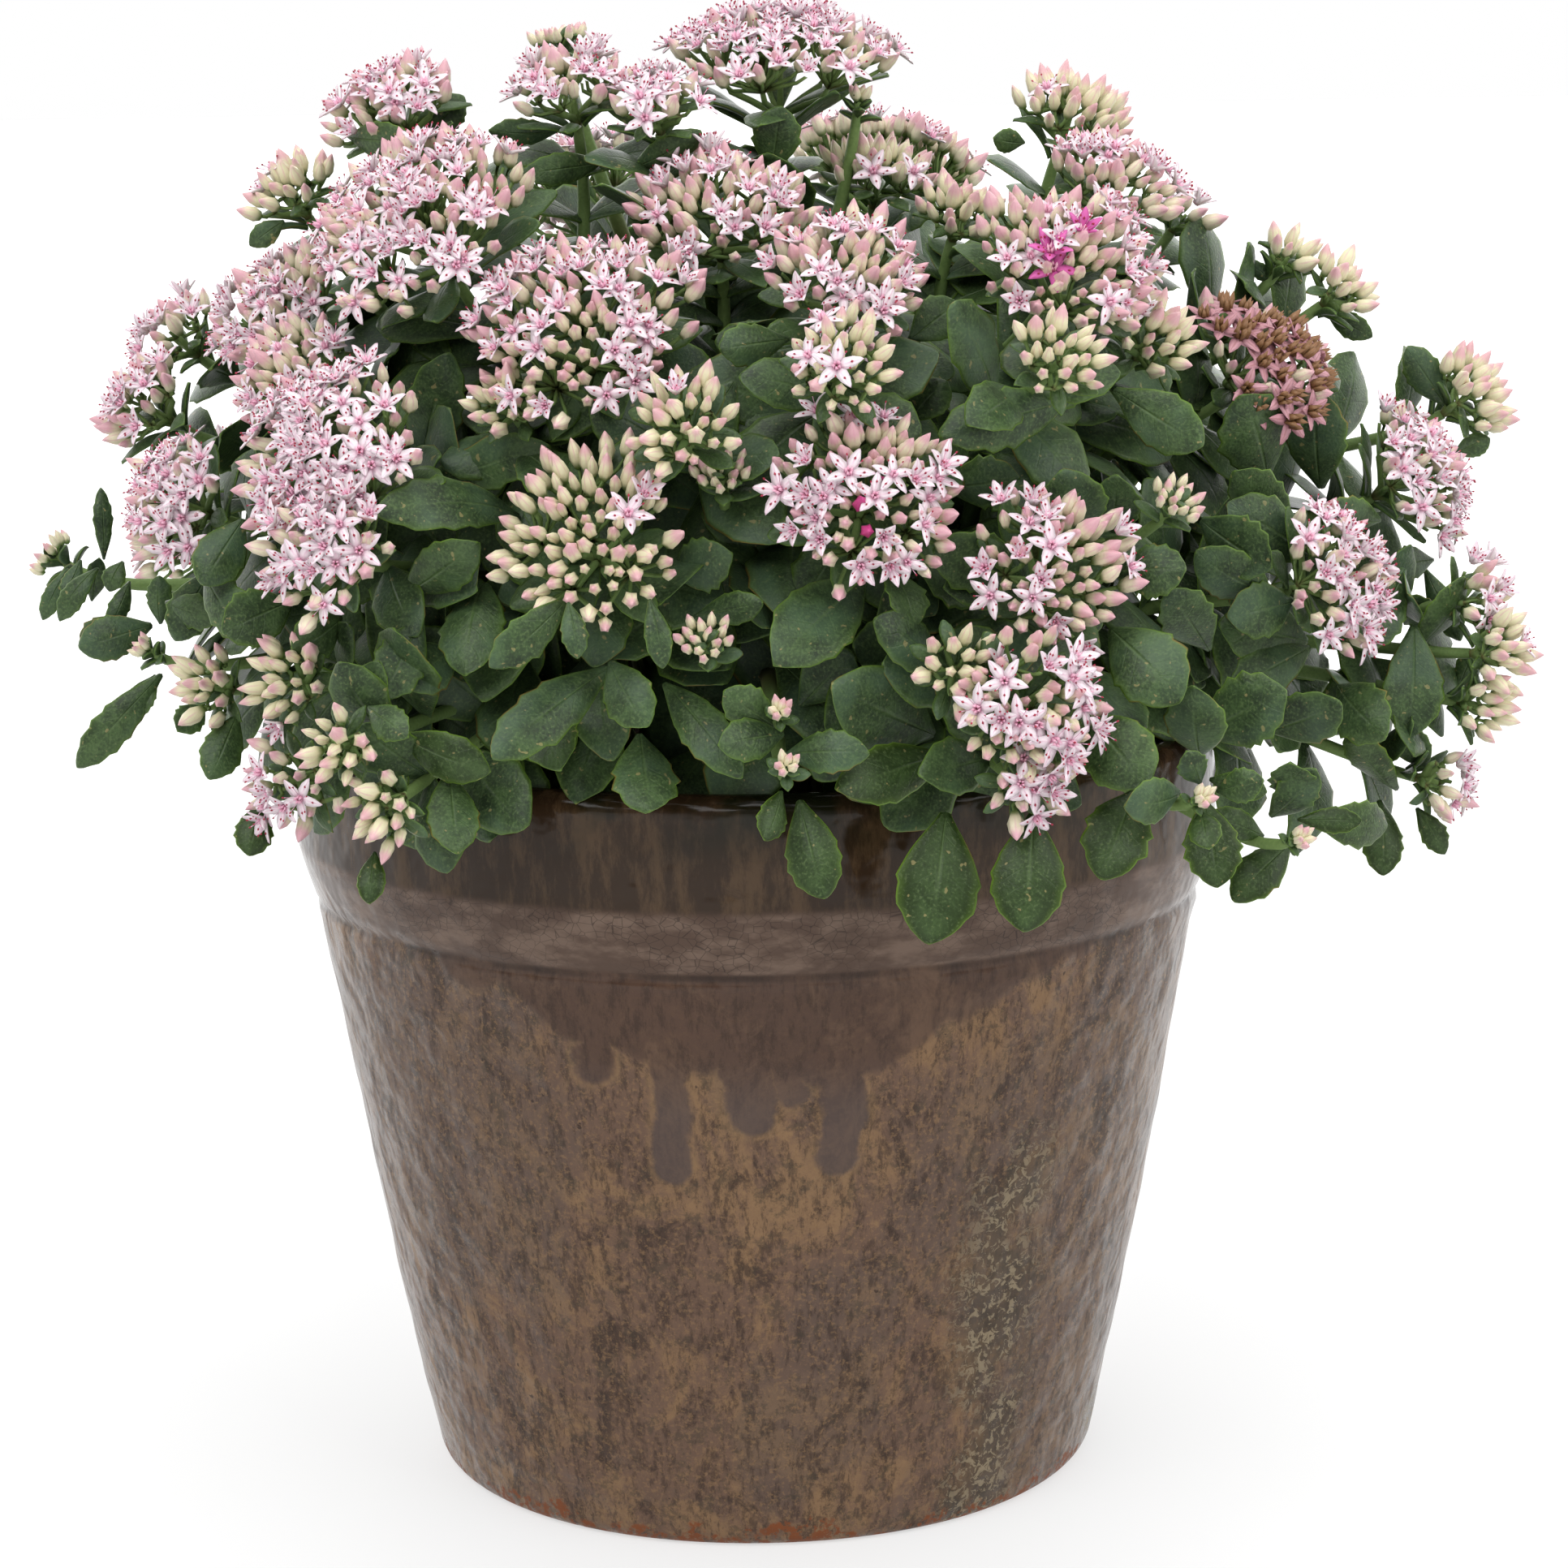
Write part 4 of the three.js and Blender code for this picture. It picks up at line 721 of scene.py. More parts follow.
# Leaves seen in front: foot across and down, tip across and down, width there, depth of foot and tip
leaves = [
    (1165, 1000, 1146, 1162, 104, -152, -166), (1274, 1000, 1262, 1145, 92, -158, -172),
    (985, 985, 1014, 1106, 70, -158, -170), (1398, 975, 1358, 1080, 86, -150, -166),
    (1482, 985, 1502, 1092, 74, -150, -160), (552, 950, 562, 1050, 66, -140, -158),
    (462, 1050, 455, 1114, 36, -146, -154), (788, 905, 800, 1002, 84, -140, -160),
    (1165, 930, 1036, 972, 74, -140, -166), (752, 822, 612, 922, 74, -140, -168),
    (818, 842, 912, 952, 62, -140, -162), (1150, 905, 1026, 848, 112, -130, -158),
    (1064, 715, 958, 812, 96, -132, -160), (1085, 700, 1128, 770, 66, -140, -152),
    (1262, 700, 1154, 684, 80, -132, -146), (1372, 705, 1458, 700, 78, -132, -142),
    (1368, 775, 1452, 856, 96, -140, -160), (1340, 880, 1412, 968, 92, -148, -166),
    (1560, 592, 1534, 488, 96, -60, -78), (1628, 602, 1620, 480, 78, -40, -52),
    (1322, 665, 1306, 578, 96, -112, -130), (1372, 655, 1378, 582, 66, -108, -122),
    (1315, 495, 1164, 536, 74, -120, -142), (1372, 480, 1482, 550, 72, -112, -122),
    (640, 638, 470, 622, 76, -112, -140), (518, 585, 552, 434, 72, -78, -92),
    (515, 600, 680, 548, 62, -100, -118), (500, 730, 588, 668, 66, -120, -140),
    (520, 760, 470, 862, 66, -128, -140), (832, 708, 896, 684, 118, -130, -142),
    (700, 735, 602, 822, 56, -158, -168), (752, 815, 792, 892, 66, -150, -164),
    (700, 742, 712, 812, 34, -168, -174), (800, 738, 818, 822, 34, -166, -172),
    (972, 418, 886, 430, 54, -118, -128), (1120, 420, 1182, 372, 58, -108, -104),
    (950, 212, 962, 132, 60, -34, -40), (610, 218, 662, 168, 40, -20, -22),
    (690, 160, 604, 162, 34, -42, -52), (742, 200, 640, 214, 40, -45, -60),
    (780, 205, 860, 168, 40, -50, -62), (1262, 175, 1224, 170, 60, -30, -34),
    (430, 168, 502, 176, 46, -44, -60), (520, 170, 572, 118, 42, -30, -28),
    (350, 272, 308, 302, 30, -30, -34), (1480, 905, 1582, 852, 92, -128, -142),
    (1480, 930, 1470, 852, 78, -138, -152), (1452, 975, 1386, 992, 60, -158, -172),
    (1478, 965, 1462, 926, 40, -160, -166), (1500, 975, 1558, 962, 44, -156, -164),
    (1480, 1000, 1490, 1048, 42, -160, -170), (1600, 985, 1590, 938, 60, -128, -140),
    (1612, 1008, 1718, 1020, 62, -130, -120), (1590, 1040, 1522, 1104, 58, -132, -144),
    (1650, 845, 1704, 906, 78, -80, -100), (1742, 770, 1738, 908, 76, -58, -70),
    (1700, 985, 1706, 1078, 52, -60, -70), (1610, 790, 1512, 772, 84, -80, -98),
    (1592, 742, 1512, 760, 70, -94, -106), (1620, 690, 1522, 622, 78, -80, -92),
    (1560, 900, 1652, 868, 74, -96, -112), (1700, 500, 1748, 520, 46, -10, -14),
    (1782, 500, 1736, 432, 46, -8, -16), (1578, 352, 1535, 322, 20, -16, -20),
    (1632, 380, 1690, 416, 32, -16, -20), (200, 830, 94, 945, 50, -20, -30), (150, 760, 100, 802, 48, 0, -8),
    (255, 700, 312, 792, 62, -80, -98), (205, 742, 262, 762, 44, -50, -62),
    (292, 880, 258, 962, 52, -84, -96), (322, 990, 306, 1052, 48, -110, -120),
    (455, 872, 500, 906, 46, -150, -162), (495, 905, 602, 952, 62, -138, -150),
    (440, 905, 468, 812, 52, -132, -138), (965, 905, 884, 918, 56, -158, -172),
    (968, 930, 1064, 925, 56, -158, -170), (955, 895, 892, 852, 56, -156, -164),
    (962, 975, 940, 1036, 42, -164, -174), (985, 870, 1050, 800, 70, -128, -136),
    (855, 760, 942, 742, 42, -140, -150), (1130, 790, 1060, 800, 72, -124, -138),
    (1160, 600, 1258, 588, 66, -112, -122), (1120, 520, 1168, 470, 66, -112, -112),
    (985, 520, 905, 556, 74, -108, -126), (1490, 800, 1440, 722, 70, -110, -128),
    (122, 700, 70, 762, 34, 8, 2), (600, 720, 570, 820, 84, -118, -142), (660, 860, 690, 948, 76, -126, -148),
    (560, 800, 500, 840, 70, -120, -138), (905, 690, 948, 770, 74, -118, -140),
    (905, 470, 850, 560, 74, -118, -128), (760, 560, 800, 640, 72, -118, -136),
    (640, 560, 700, 610, 72, -112, -128), (1200, 780, 1150, 850, 80, -124, -140),
    (1010, 480, 1060, 560, 70, -118, -132), (1230, 560, 1280, 640, 80, -112, -128),
    (1480, 640, 1560, 700, 80, -96, -110), (420, 760, 360, 800, 70, -110, -122),
    (300, 640, 250, 720, 64, -84, -96), (188, 770, 98, 798, 56, -6, -14), (198, 769, 196, 709, 34, -12, -14),
    (113, 740, 122, 687, 28, 16, 12), (128, 690, 125, 602, 24, 10, 8), (160, 716, 136, 774, 27, 2, -4),
    (152, 692, 134, 728, 34, 4, 0), (193, 832, 165, 884, 38, -18, -24), (252, 868, 218, 902, 46, -50, -58),
    (262, 700, 216, 790, 60, -48, -56), (360, 742, 276, 778, 76, -92, -104), (84, 700, 52, 764, 26, 22, 18),
    (100, 690, 80, 740, 26, 18, 12), (1590, 655, 1520, 578, 66, -70, -86),
    (1566, 731, 1478, 690, 70, -96, -110), (1614, 798, 1515, 850, 62, -84, -98),
    (1722, 972, 1662, 905, 52, -60, -76), (1565, 1005, 1622, 948, 54, -128, -138),
    (1598, 1010, 1678, 1012, 34, -134, -136), (1755, 700, 1800, 790, 36, -34, -40),
    (1794, 852, 1816, 798, 27, -40, -42), (1758, 945, 1728, 888, 44, -56, -64),
    (1765, 690, 1712, 696, 44, -36, -48), (1490, 960, 1562, 976, 38, -142, -148),
    (1556, 1030, 1488, 1004, 42, -136, -144), (1760, 860, 1700, 872, 48, -46, -60),
    (1772, 762, 1722, 740, 44, -36, -50), (1745, 995, 1782, 1052, 34, -62, -66),
    (1790, 560, 1836, 540, 30, -16, -18), (1700, 640, 1640, 640, 56, -52, -70),
    (1730, 700, 1680, 800, 60, -56, -70),
]


# Every head part as name, centre, face normal, radius, kind and whether it is in front
def layHeads():
    parts = []
    for number, u, v, wide, y, kind, lean in heads:
        centre = seen(u, v, y)
        normal = unit(unit(centre - middle) + [0, -0.3, lean])
        radius = widthAt(wide, y) * headShape["widthGain"] / 2
        parts.append((number, centre - headShape["sink"] * normal, normal, radius, kind, True))
    for number, x, y, z, wide, kind in backHeads:
        centre = np.array([x, y, z], float)
        parts.append((number, centre, unit(centre - middle), wide / 2, kind, False))
    return parts


# Spacing of florets or buds in millimetres, the share that is open, their range of tones, the record's slot
headStyle = {
    "o": {"spacing": 5.8, "open": 0.6, "tones": (0.3, 0.8), "slot": "pink_florets"},
    "h": {"spacing": 5.3, "open": 0.42, "tones": (0.3, 0.85), "slot": "pink_florets"},
    "m": {"spacing": 5.0, "open": 0.28, "tones": (0.35, 0.9), "slot": "florets_and_buds"},
    "b": {"spacing": 5.0, "open": 0.03, "tones": (0.2, 0.75), "slot": "cream_buds"},
    "s": {"spacing": 6.2, "open": 0.85, "tones": (0.3, 0.8), "slot": "spent_florets"},
}
deepPink = {12: "florets", 31: "buds"}  # the heads with a few deep pink florets or buds
# Shares of a head's radius, and sizes in millimetres
headShape = {
    "widthGain": 1.04, "sink": 4, "rise": 0.34, "splay": 0.95, "seat": 2.2,
    "floretSize": (0.84, 1.08), "budSize": (0.72, 1.1), "fork": 0.62, "branches": 5, "branchOut": 0.52,
    "branchDown": 0.16, "inner": 0.42, "stalk": (0.65, 0.6), "branch": (1.2, 0.8), "fewest": 7,
    "crowding": 1.12,
}
# A stem leaves its crown outwards, up to a height in its range. Pairs: how far up a pair sits, and its length
stem = {"thick": (2.8, 1.5), "out": 1.2, "height": (262, 330), "neck": 34, "bracts": 7,
        "bractReach": (0.78, 1.12), "bractDrop": 0.25, "bractWidth": 0.36, "bractPeak": 0.66,
        "pairs": ((0.86, 26), (0.74, 34), (0.6, 40), (0.46, 42)), "pairWidth": 0.58}


# Florets and buds of one head: items on a sunflower spiral over a lumpy dome, height = rise (1 - q^2),
# where q runs from 0 in the middle to 1 at the rim, and each leans out with q. Their count is the disc's area
# over the 0.87 spacing^2 that one takes in a packed layer, times the crowding
def fillHead(pile, centre, normal, radius, kind, deep):
    style, shape = headStyle[kind], headShape
    area = math.pi * (radius - 1.5) ** 2
    count = max(shape["fewest"], int(shape["crowding"] * area / (0.87 * style["spacing"] ** 2)))
    k = np.arange(count) + 0.5
    q = np.sqrt(k / count) + rng.normal(0, 0.025, count)
    angle = k * golden + rng.uniform(0, 6) + rng.normal(0, 0.08, count)
    phase = rng.uniform(0, 6, 4)
    waves = ((2, 0.05), (3, 0.06), (5, 0.04))
    lump = 1 + sum(size * np.sin(n * angle + start) for (n, size), start in zip(waves, phase))
    axes = axesAbout(normal)
    out = fan(angle, axes)
    height = shape["rise"] * radius * (1 - q**2) + 0.05 * radius * np.sin(3 * angle + phase[3]) * q
    height = height + rng.normal(0, 0.7, count)
    spots = centre + ((radius - 2.5) * q * lump)[:, None] * out + height[:, None] * normal
    lean = unit(normal + (shape["splay"] * q**1.3)[:, None] * out + rng.normal(0, 0.1, (count, 3)))
    tops = axesAbout(lean)
    spin = rng.uniform(0, 2 * np.pi, count)
    c, s = np.cos(spin)[:, None], np.sin(spin)[:, None]
    tops = np.stack([c * tops[:, 0] + s * tops[:, 1], c * tops[:, 1] - s * tops[:, 0], tops[:, 2]], 1)
    isOpen = rng.uniform(0, 1, count) < style["open"] * (1.3 - 0.6 * q)
    forms = spentForms if kind == "s" else openForms
    which = rng.integers(0, len(forms), count)
    tones = rng.uniform(*style["tones"], count)
    if deep:
        ahead = np.argsort(np.where(isOpen == (deep == "florets"), lean[:, 1] + 0.5 * q, 9))[:6]
        tones[ahead[1::2]] = 1.0
    openTones = np.where(tones == 1, 1.0, tones * 0.9)
    for i, form in enumerate(forms):
        own = isOpen & (which == i)
        sizes = rng.uniform(*shape["floretSize"], own.sum())
        stamp(pile, form, spots[own] + shape["seat"] * lean[own], tops[own], sizes, openTones[own])
    for i, form in enumerate(budForms):
        own = ~isOpen & (which % 2 == i)
        sizes = rng.uniform(*shape["budSize"], own.sum())
        stamp(pile, form, spots[own] - shape["seat"] * lean[own], tops[own], sizes, tones[own])
    # stalks: the stem forks to five outer branches and one in the middle, and each item hangs on the nearest
    arms = shape["branches"]
    fork = centre - shape["fork"] * radius * normal
    knots = centre + shape["branchOut"] * radius * fan(2 * np.pi * (np.arange(arms) + 0.5) / arms, axes)
    knots = np.vstack([knots - shape["branchDown"] * radius * normal, centre - 0.05 * radius * normal])
    nearest = np.where(q < shape["inner"], arms, np.floor(angle / (2 * np.pi) * arms).astype(int) % arms)
    start = knots[nearest]
    corners = np.stack([start, start + 0.4 * (spots - start), spots - 5 * lean, spots - 1.5 * lean], 1)
    stampTubes(pile, corners, shape["stalk"], 4, 3, rng.uniform(0.2, 1, count), bloomSkins["stem"])
    forks = np.tile(fork, (arms + 1, 1))
    corners = np.stack([forks, forks + 0.3 * radius * normal, knots - 0.2 * radius * normal, knots], 1)
    stampTubes(pile, corners, shape["branch"], 5, 5, rng.uniform(0.2, 1, arms + 1), bloomSkins["stem"])
    return fork


# Stem from the crown of its bunch up to the fork, with bracts round the fork and pairs of leaves further down
def growStem(centre, normal, radius, fork, inFront):
    green = greens[int(sliceOf(fork))]
    turn = math.atan2(fork[1] / bunch["squash"], fork[0])
    foot = np.array([bunch["crown"] * math.cos(turn), bunch["crown"] * math.sin(turn) * bunch["squash"],
                     bunch["soilTop"] - 3])
    rise = np.append(foot[:2] * stem["out"], np.clip(fork[2], *stem["height"]))
    corners = np.stack([foot, rise, fork - stem["neck"] * normal, fork])
    stampTubes(green, corners[None], stem["thick"], 16, 8, rng.uniform(0.2, 0.8, 1), leafSkins["stem"])
    count = stem["bracts"]
    out = fan(2 * np.pi * (np.arange(count) + rng.uniform(-0.3, 0.3, count)) / count, axesAbout(normal))
    feet = fork + 1.5 * out + rng.uniform(-4, 6, count)[:, None] * normal
    ends = centre + (radius * rng.uniform(*stem["bractReach"], count))[:, None] * out
    ends = ends - (stem["bractDrop"] * radius * rng.uniform(0.6, 1.3, count))[:, None] * normal
    widths = np.linalg.norm(ends - feet, axis=1) * stem["bractWidth"]
    facing = np.tile(normal, (count, 1))
    stampLeaves(green, feet, ends, facing, widths, 10, 8, False, leafSkins["bract"], peak=stem["bractPeak"])
    for t, size in stem["pairs"]:
        spot, way = curveAt(*corners, t)
        way = unit(way)
        turn = rng.uniform(0, np.pi)
        pair = fan(np.array([turn, turn + np.pi]), axesAbout(way))
        ends = spot + size * unit(pair + 0.5 * way - [0, 0, 0.15])
        face = unit(0.5 * way + [0.3 * spot[0] / 150, -0.5 if inFront else 0.4, 0.5])
        widths = np.full(2, size * stem["pairWidth"])
        stampLeaves(green, np.tile(spot, (2, 1)), ends, np.tile(face, (2, 1)), widths, 12, 12)


headParts = layHeads()
for number in dict.fromkeys(part[0] for part in headParts):
    pile, name = newPile(), "head_%02d" % number
    for _, centre, normal, radius, kind, inFront in (part for part in headParts if part[0] == number):
        fork = fillHead(pile, centre, normal, radius, kind, deepPink.get(number))
        growStem(centre, normal, radius, fork, inFront)
    bloom = [spentPetalMaterial, spentCarpelMaterial] if kind == "s" else [petalMaterial, carpelMaterial]
    bloom += [stamenMaterial, paleBudMaterial if kind == "b" else budMaterial, stemMaterial]
    makePiece(name + "_bloom", pile, bloom, name)
print("flower heads made")


# Leaves placed one by one in front, each facing the viewer more or less; the hanging ones are sunnier
def layFrontLeaves():
    table = np.array(leaves, float)
    feet, ends = seen(table[:, 0], table[:, 1], table[:, 5]), seen(table[:, 2], table[:, 3], table[:, 6])
    eye = np.array([0, -view["back"], view["up"]])
    widths = np.minimum(widthAt(table[:, 4], table[:, 5]), 0.74 * np.linalg.norm(ends - feet, axis=1))
    warm = np.clip((245 - ends[:, 2]) / 60, 0, 0.9)
    facing = unit(unit(eye - feet) + rng.normal(0, 0.2, feet.shape))
    shareLeaves((feet + ends) / 2, feet, ends, facing, widths, 20, 16, warm)


# Rings of leaves on the bunches, all the way round: z, count, fall. In front the leaves are shorter, since
# the listed ones lie among them
ringRows = [(226, 22, 1.4), (238, 24, 1.1), (252, 24, 0.9), (268, 23, 0.8), (284, 22, 0.5), (300, 20, 0.2),
            (316, 17, 0.0), (330, 13, -0.3), (342, 9, -0.6)]
ringLeaf = {"sunk": (6, 18), "front": 34, "back": 46, "width": 0.58}


# Feet on the core's outline, each leaf pointing out, aside and down by its ring's fall
def layRingLeaves():
    for z, count, fall in ringRows:
        turn = 2 * np.pi * (np.arange(count) + rng.uniform(-0.35, 0.35, count)) / count
        radius = coreRadius(z) - rng.uniform(*ringLeaf["sunk"], count)
        c, s = np.cos(turn), np.sin(turn)
        feet = np.stack([radius * c, radius * s * bunch["squash"], np.full(count, float(z))], -1)
        swing = rng.uniform(-0.8, 0.8, count)
        down = -fall * 0.6 + rng.uniform(-0.2, 0.2, count)
        out = unit(np.stack([c * 0.75 - s * swing, s * 0.75 + c * swing, down], -1))
        size = np.where(s < -0.2, ringLeaf["front"], ringLeaf["back"]) + rng.uniform(-4, 6, count)
        facing = unit(np.stack([c, s, np.full(count, 0.8)], -1))
        shareLeaves(feet, feet, feet + size[:, None] * out, facing, size * ringLeaf["width"], 12, 12)


# Green tips: a short shoot with a rosette of small leaves and a few young buds
tipShape = {"thick": (2.4, 1.3), "stem": 60, "rise": 0.8, "leaves": 9, "small": 75, "fewBuds": 6,
            "moreBuds": 15, "budSize": 0.6}


def layTips():
    form = dict(budForms[0])
    for key in ("quadSkin", "triSkin"):
        form[key] = np.full(len(form[key]), leafSkins["bud"])
    for u, v, wide, y in tips:
        centre = seen(u, v, y)
        normal = unit(unit(centre - middle) + [0, 0, 0.35])
        radius = float(widthAt(wide, y)) / 2
        green, axes = greens[int(sliceOf(centre))], axesAbout(normal)
        foot = centre - 0.9 * radius * normal
        inner = foot - unit(foot - np.array([0, 0, 250])) * tipShape["stem"]
        head = foot + tipShape["rise"] * radius * normal
        corners = np.stack([inner, inner + 0.5 * (foot - inner), foot - 12 * normal, head])
        stampTubes(green, corners[None], tipShape["thick"], 10, 8, np.array([0.6]), leafSkins["stem"])
        count = tipShape["leaves"]
        level = np.linspace(0, 1, count)
        feet = foot + (level * tipShape["rise"] * radius)[:, None] * normal
        way = unit(fan(golden * np.arange(count), axes) + (0.3 + 0.9 * level)[:, None] * normal)
        ends = feet + (radius * (1.0 - 0.45 * level))[:, None] * way
        facing, widths = np.tile(normal, (count, 1)), radius * (0.56 - 0.24 * level)
        stampLeaves(green, feet, ends, facing, widths, 14, 8, False, leafSkins["bract"])
        isSmall = wide < tipShape["small"]
        buds, spread = (tipShape["fewBuds"], 0.22) if isSmall else (tipShape["moreBuds"], 0.62)
        out = fan(golden * np.arange(buds) + 1, axes)
        spots = head + (spread * radius * np.sqrt(np.arange(buds) / buds))[:, None] * out
        sizes = np.full(buds, tipShape["budSize"])
        stamp(green, form, spots, axesAbout(unit(normal + 0.5 * out)), sizes, rng.uniform(0.1, 0.8, buds))


# Shaded leaves deep in the mound, so that no light shows through it: z, count, share of the core's radius
innerRows = [(232, 14, 0.72), (250, 14, 0.6), (268, 14, 0.72), (286, 13, 0.6), (304, 12, 0.7), (322, 9, 0.6),
             (338, 5, 0.5)]
innerLeaf = {"length": 54, "width": 40.0, "drop": 26}


def layInnerLeaves():
    for z, count, share in innerRows:
        turn = 2 * np.pi * (np.arange(count) + rng.uniform(-0.3, 0.3, count)) / count
        radius = coreRadius(z) * share
        c, s = np.cos(turn), np.sin(turn)
        out = np.stack([c, s, 0 * turn], -1)
        feet = out * [radius, radius * bunch["squash"], 0] + [0, 0, z - innerLeaf["drop"]]
        lean = unit(np.stack([-s * rng.uniform(-0.6, 0.6, count), c * rng.uniform(-0.6, 0.6, count),
                              np.full(count, 1.2)], -1))
        ends, widths = feet + innerLeaf["length"] * lean, np.full(count, innerLeaf["width"])
        shareLeaves(feet, feet, ends, out, widths, 8, 8)


layFrontLeaves()
layRingLeaves()
layTips()
layInnerLeaves()
foliage = [leafMaterial, stemMaterial, bractMaterial, paleBudMaterial]
for k, pile in enumerate(greens):
    name = "leafy_stems_%02d" % (k + 1)
    makePiece(name + "_foliage", pile, foliage, name)
print("foliage made")


# Pot: one turned, glazed wall. Height and lip come from the frame's box. Base, crease and lip are radii, and
# gauge is the radius at which lengths around the pot are measured
potHigh = np.array(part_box("pot")[1]) / mm
pot = {"height": potHigh[2], "lip": potHigh[0], "base": 98.4, "crease": 129.9, "wallTop": 169,
       "creaseHeight": 170.4, "bandFoot": 173.0, "bandTop": 188.7, "footRound": 4, "lipRound": 4.9,
       "bow": 0.5, "step": 0.6, "wall": 8, "floor": 10, "drain": 11, "columns": 256, "gauge": 120}


# Outline of radius and height: foot, tapered wall, crease, flaring band, upright rim, rounded lip, inner wall
def potOutline():
    base, crease, lip, height = pot["base"], pot["crease"], pot["lip"], pot["height"]
    level, low, high = pot["creaseHeight"], pot["bandFoot"], pot["bandTop"]
    heel, curl, step, bow = pot["footRound"], pot["lipRound"], pot["step"], pot["bow"]
    foot = [(base - heel + (heel + 0.3) * math.sin(a), heel - heel * math.cos(a))
            for a in np.linspace(0, math.pi / 2, 7)[:-1]]
    slope = [(base + (crease - base) * z / level, z) for z in np.linspace(heel, pot["wallTop"] - 0.5, 60)]
    wall = [(r + bow * math.sin(math.pi * z / (pot["wallTop"] + 1)) - bow / 2, z) for r, z in slope]
    hollow = [(crease - 0.9, level - 0.4), (crease - 0.7, level + 0.8), (crease + step, low)]
    flare = lip - crease - step
    band = [(crease + step + flare * (t + 0.05 * math.sin(math.pi * t)), low + (high - low) * t)
            for t in np.linspace(0.12, 0.93, 8)]
    rim = [(lip - 0.25, high - 0.3), (lip - 0.1, high + 1.5)]
    rim += [(lip - 0.15, z) for z in np.linspace(high + 4.3, height - 7, 8)]
    top = [(lip - curl - 0.1 + curl * math.cos(a), height - curl + curl * math.sin(a))
           for a in np.linspace(0.1, math.pi - 0.1, 12)]
    inner = [(lip - 10.3, height - 15), (lip - 10.5, high + 6), (crease - pot["wall"], level),
             (base - pot["wall"] + 2, pot["floor"]), (pot["drain"], pot["floor"]), (pot["drain"], 0.2)]
    return np.array(foot + wall + hollow + band + rim + top + inner)


# Lower edge of the thick glaze under the crease: height, and a slow sway of it around the pot
apron = {"height": 157, "sway": 13, "turns": 0.025, "start": -1.39}
# Runs of thick glaze: place around, half width and lower end, in millimetres
glazeRuns = [(-24, 5.2, 116), (-3, 7.5, 133), (8, 4.5, 138), (21, 5.6, 119), (-44, 4, 143), (228, 5, 118),
             (252, 7, 128), (274, 5, 112), (-276, 6, 120), (-252, 5, 112), (-232, 7, 130)]


# How far thick glaze stands out, 0 to 1: under the crease, and in each run out to its half width
def runLift(turn, z):
    around = pot["gauge"] * np.arctan2(np.cos(turn), -np.sin(turn))
    edge = apron["sway"] * np.sin(apron["turns"] * around + apron["start"])
    lift = smooth(apron["height"], apron["height"] + 6, z - edge)
    for centre, half, end in glazeRuns:
        far = np.hypot(around - centre, np.maximum(end - z, 0))
        lift = np.maximum(lift, smooth(half + 1.5, half - 2.5, far))
    return lift * smooth(pot["wallTop"], pot["wallTop"] - 4, z)


# Turned surface with a slow unevenness: radius + small waves of the turn and height + dents + thick glaze
def makePot(material):
    outline = potOutline()
    rows, cols = len(outline), pot["columns"]
    turn = 2 * np.pi * np.arange(cols) / cols
    r, z = outline[:, :1], outline[:, 1:]
    hand = 0.35 * np.sin(2 * turn + 0.02 * z) + 0.2 * np.sin(5 * turn - 0.05 * z)
    hand = hand + 0.12 * np.sin(0.19 * z + turn)
    dents = np.sin(31 * turn + 2 * np.sin(0.09 * z)) * np.sin(0.27 * z + 2 * np.sin(7 * turn))
    onWall = smooth(2, 12, z) * smooth(pot["wallTop"], pot["wallTop"] - 9, z)
    hand = hand + 0.16 * dents * onWall + 0.8 * runLift(turn, z)
    outside = np.arange(rows)[:, None] < rows - 8
    ring = r + np.where(outside, hand - 0.45, 0)
    points = np.stack([ring * np.cos(turn), ring * np.sin(turn), np.tile(z, (1, cols))], -1)
    i, k = np.meshgrid(np.arange(rows), np.arange(cols), indexing="ij")
    j, up = (k + 1) % cols, (i + 1) % rows
    quads = np.stack([i * cols + k, i * cols + j, up * cols + j, up * cols + k], -1).reshape(-1, 4)
    pile = newPile()
    heapUp(pile, points.reshape(1, -1, 3), quads, np.zeros((0, 3), int), 0.0, 0.0, 0.0)
    makePiece("pot_glazed", pile, [material], "pot")


# Glaze run: a finger with a round end. Its outputs are the share inside it and a halo round its edge
def makeRunGroup():
    start = {"Around": 0.0, "Height": 0.0, "Centre": 0.0, "Half Width": 0.006, "End": 0.12}
    group, given, sink = newGroup("glazeRun", start, ("Inside", "Halo"))
    aside = calc(group, "SUBTRACT", given["Around"], given["Centre"])
    below = calc(group, "MAXIMUM", calc(group, "SUBTRACT", given["End"], given["Height"]), 0.0)
    far = calc(group, "SQRT", total(group, times(group, aside, aside), (below, below)))
    beyond = calc(group, "SUBTRACT", far, given["Half Width"])
    halo = times(group, fade(group, beyond, 0.0032, 0.0003), fade(group, beyond, -0.002, 0.0005))
    feed(group, sink, {"Inside": fade(group, beyond, 0.0012, -0.0012), "Halo": halo})
    return group


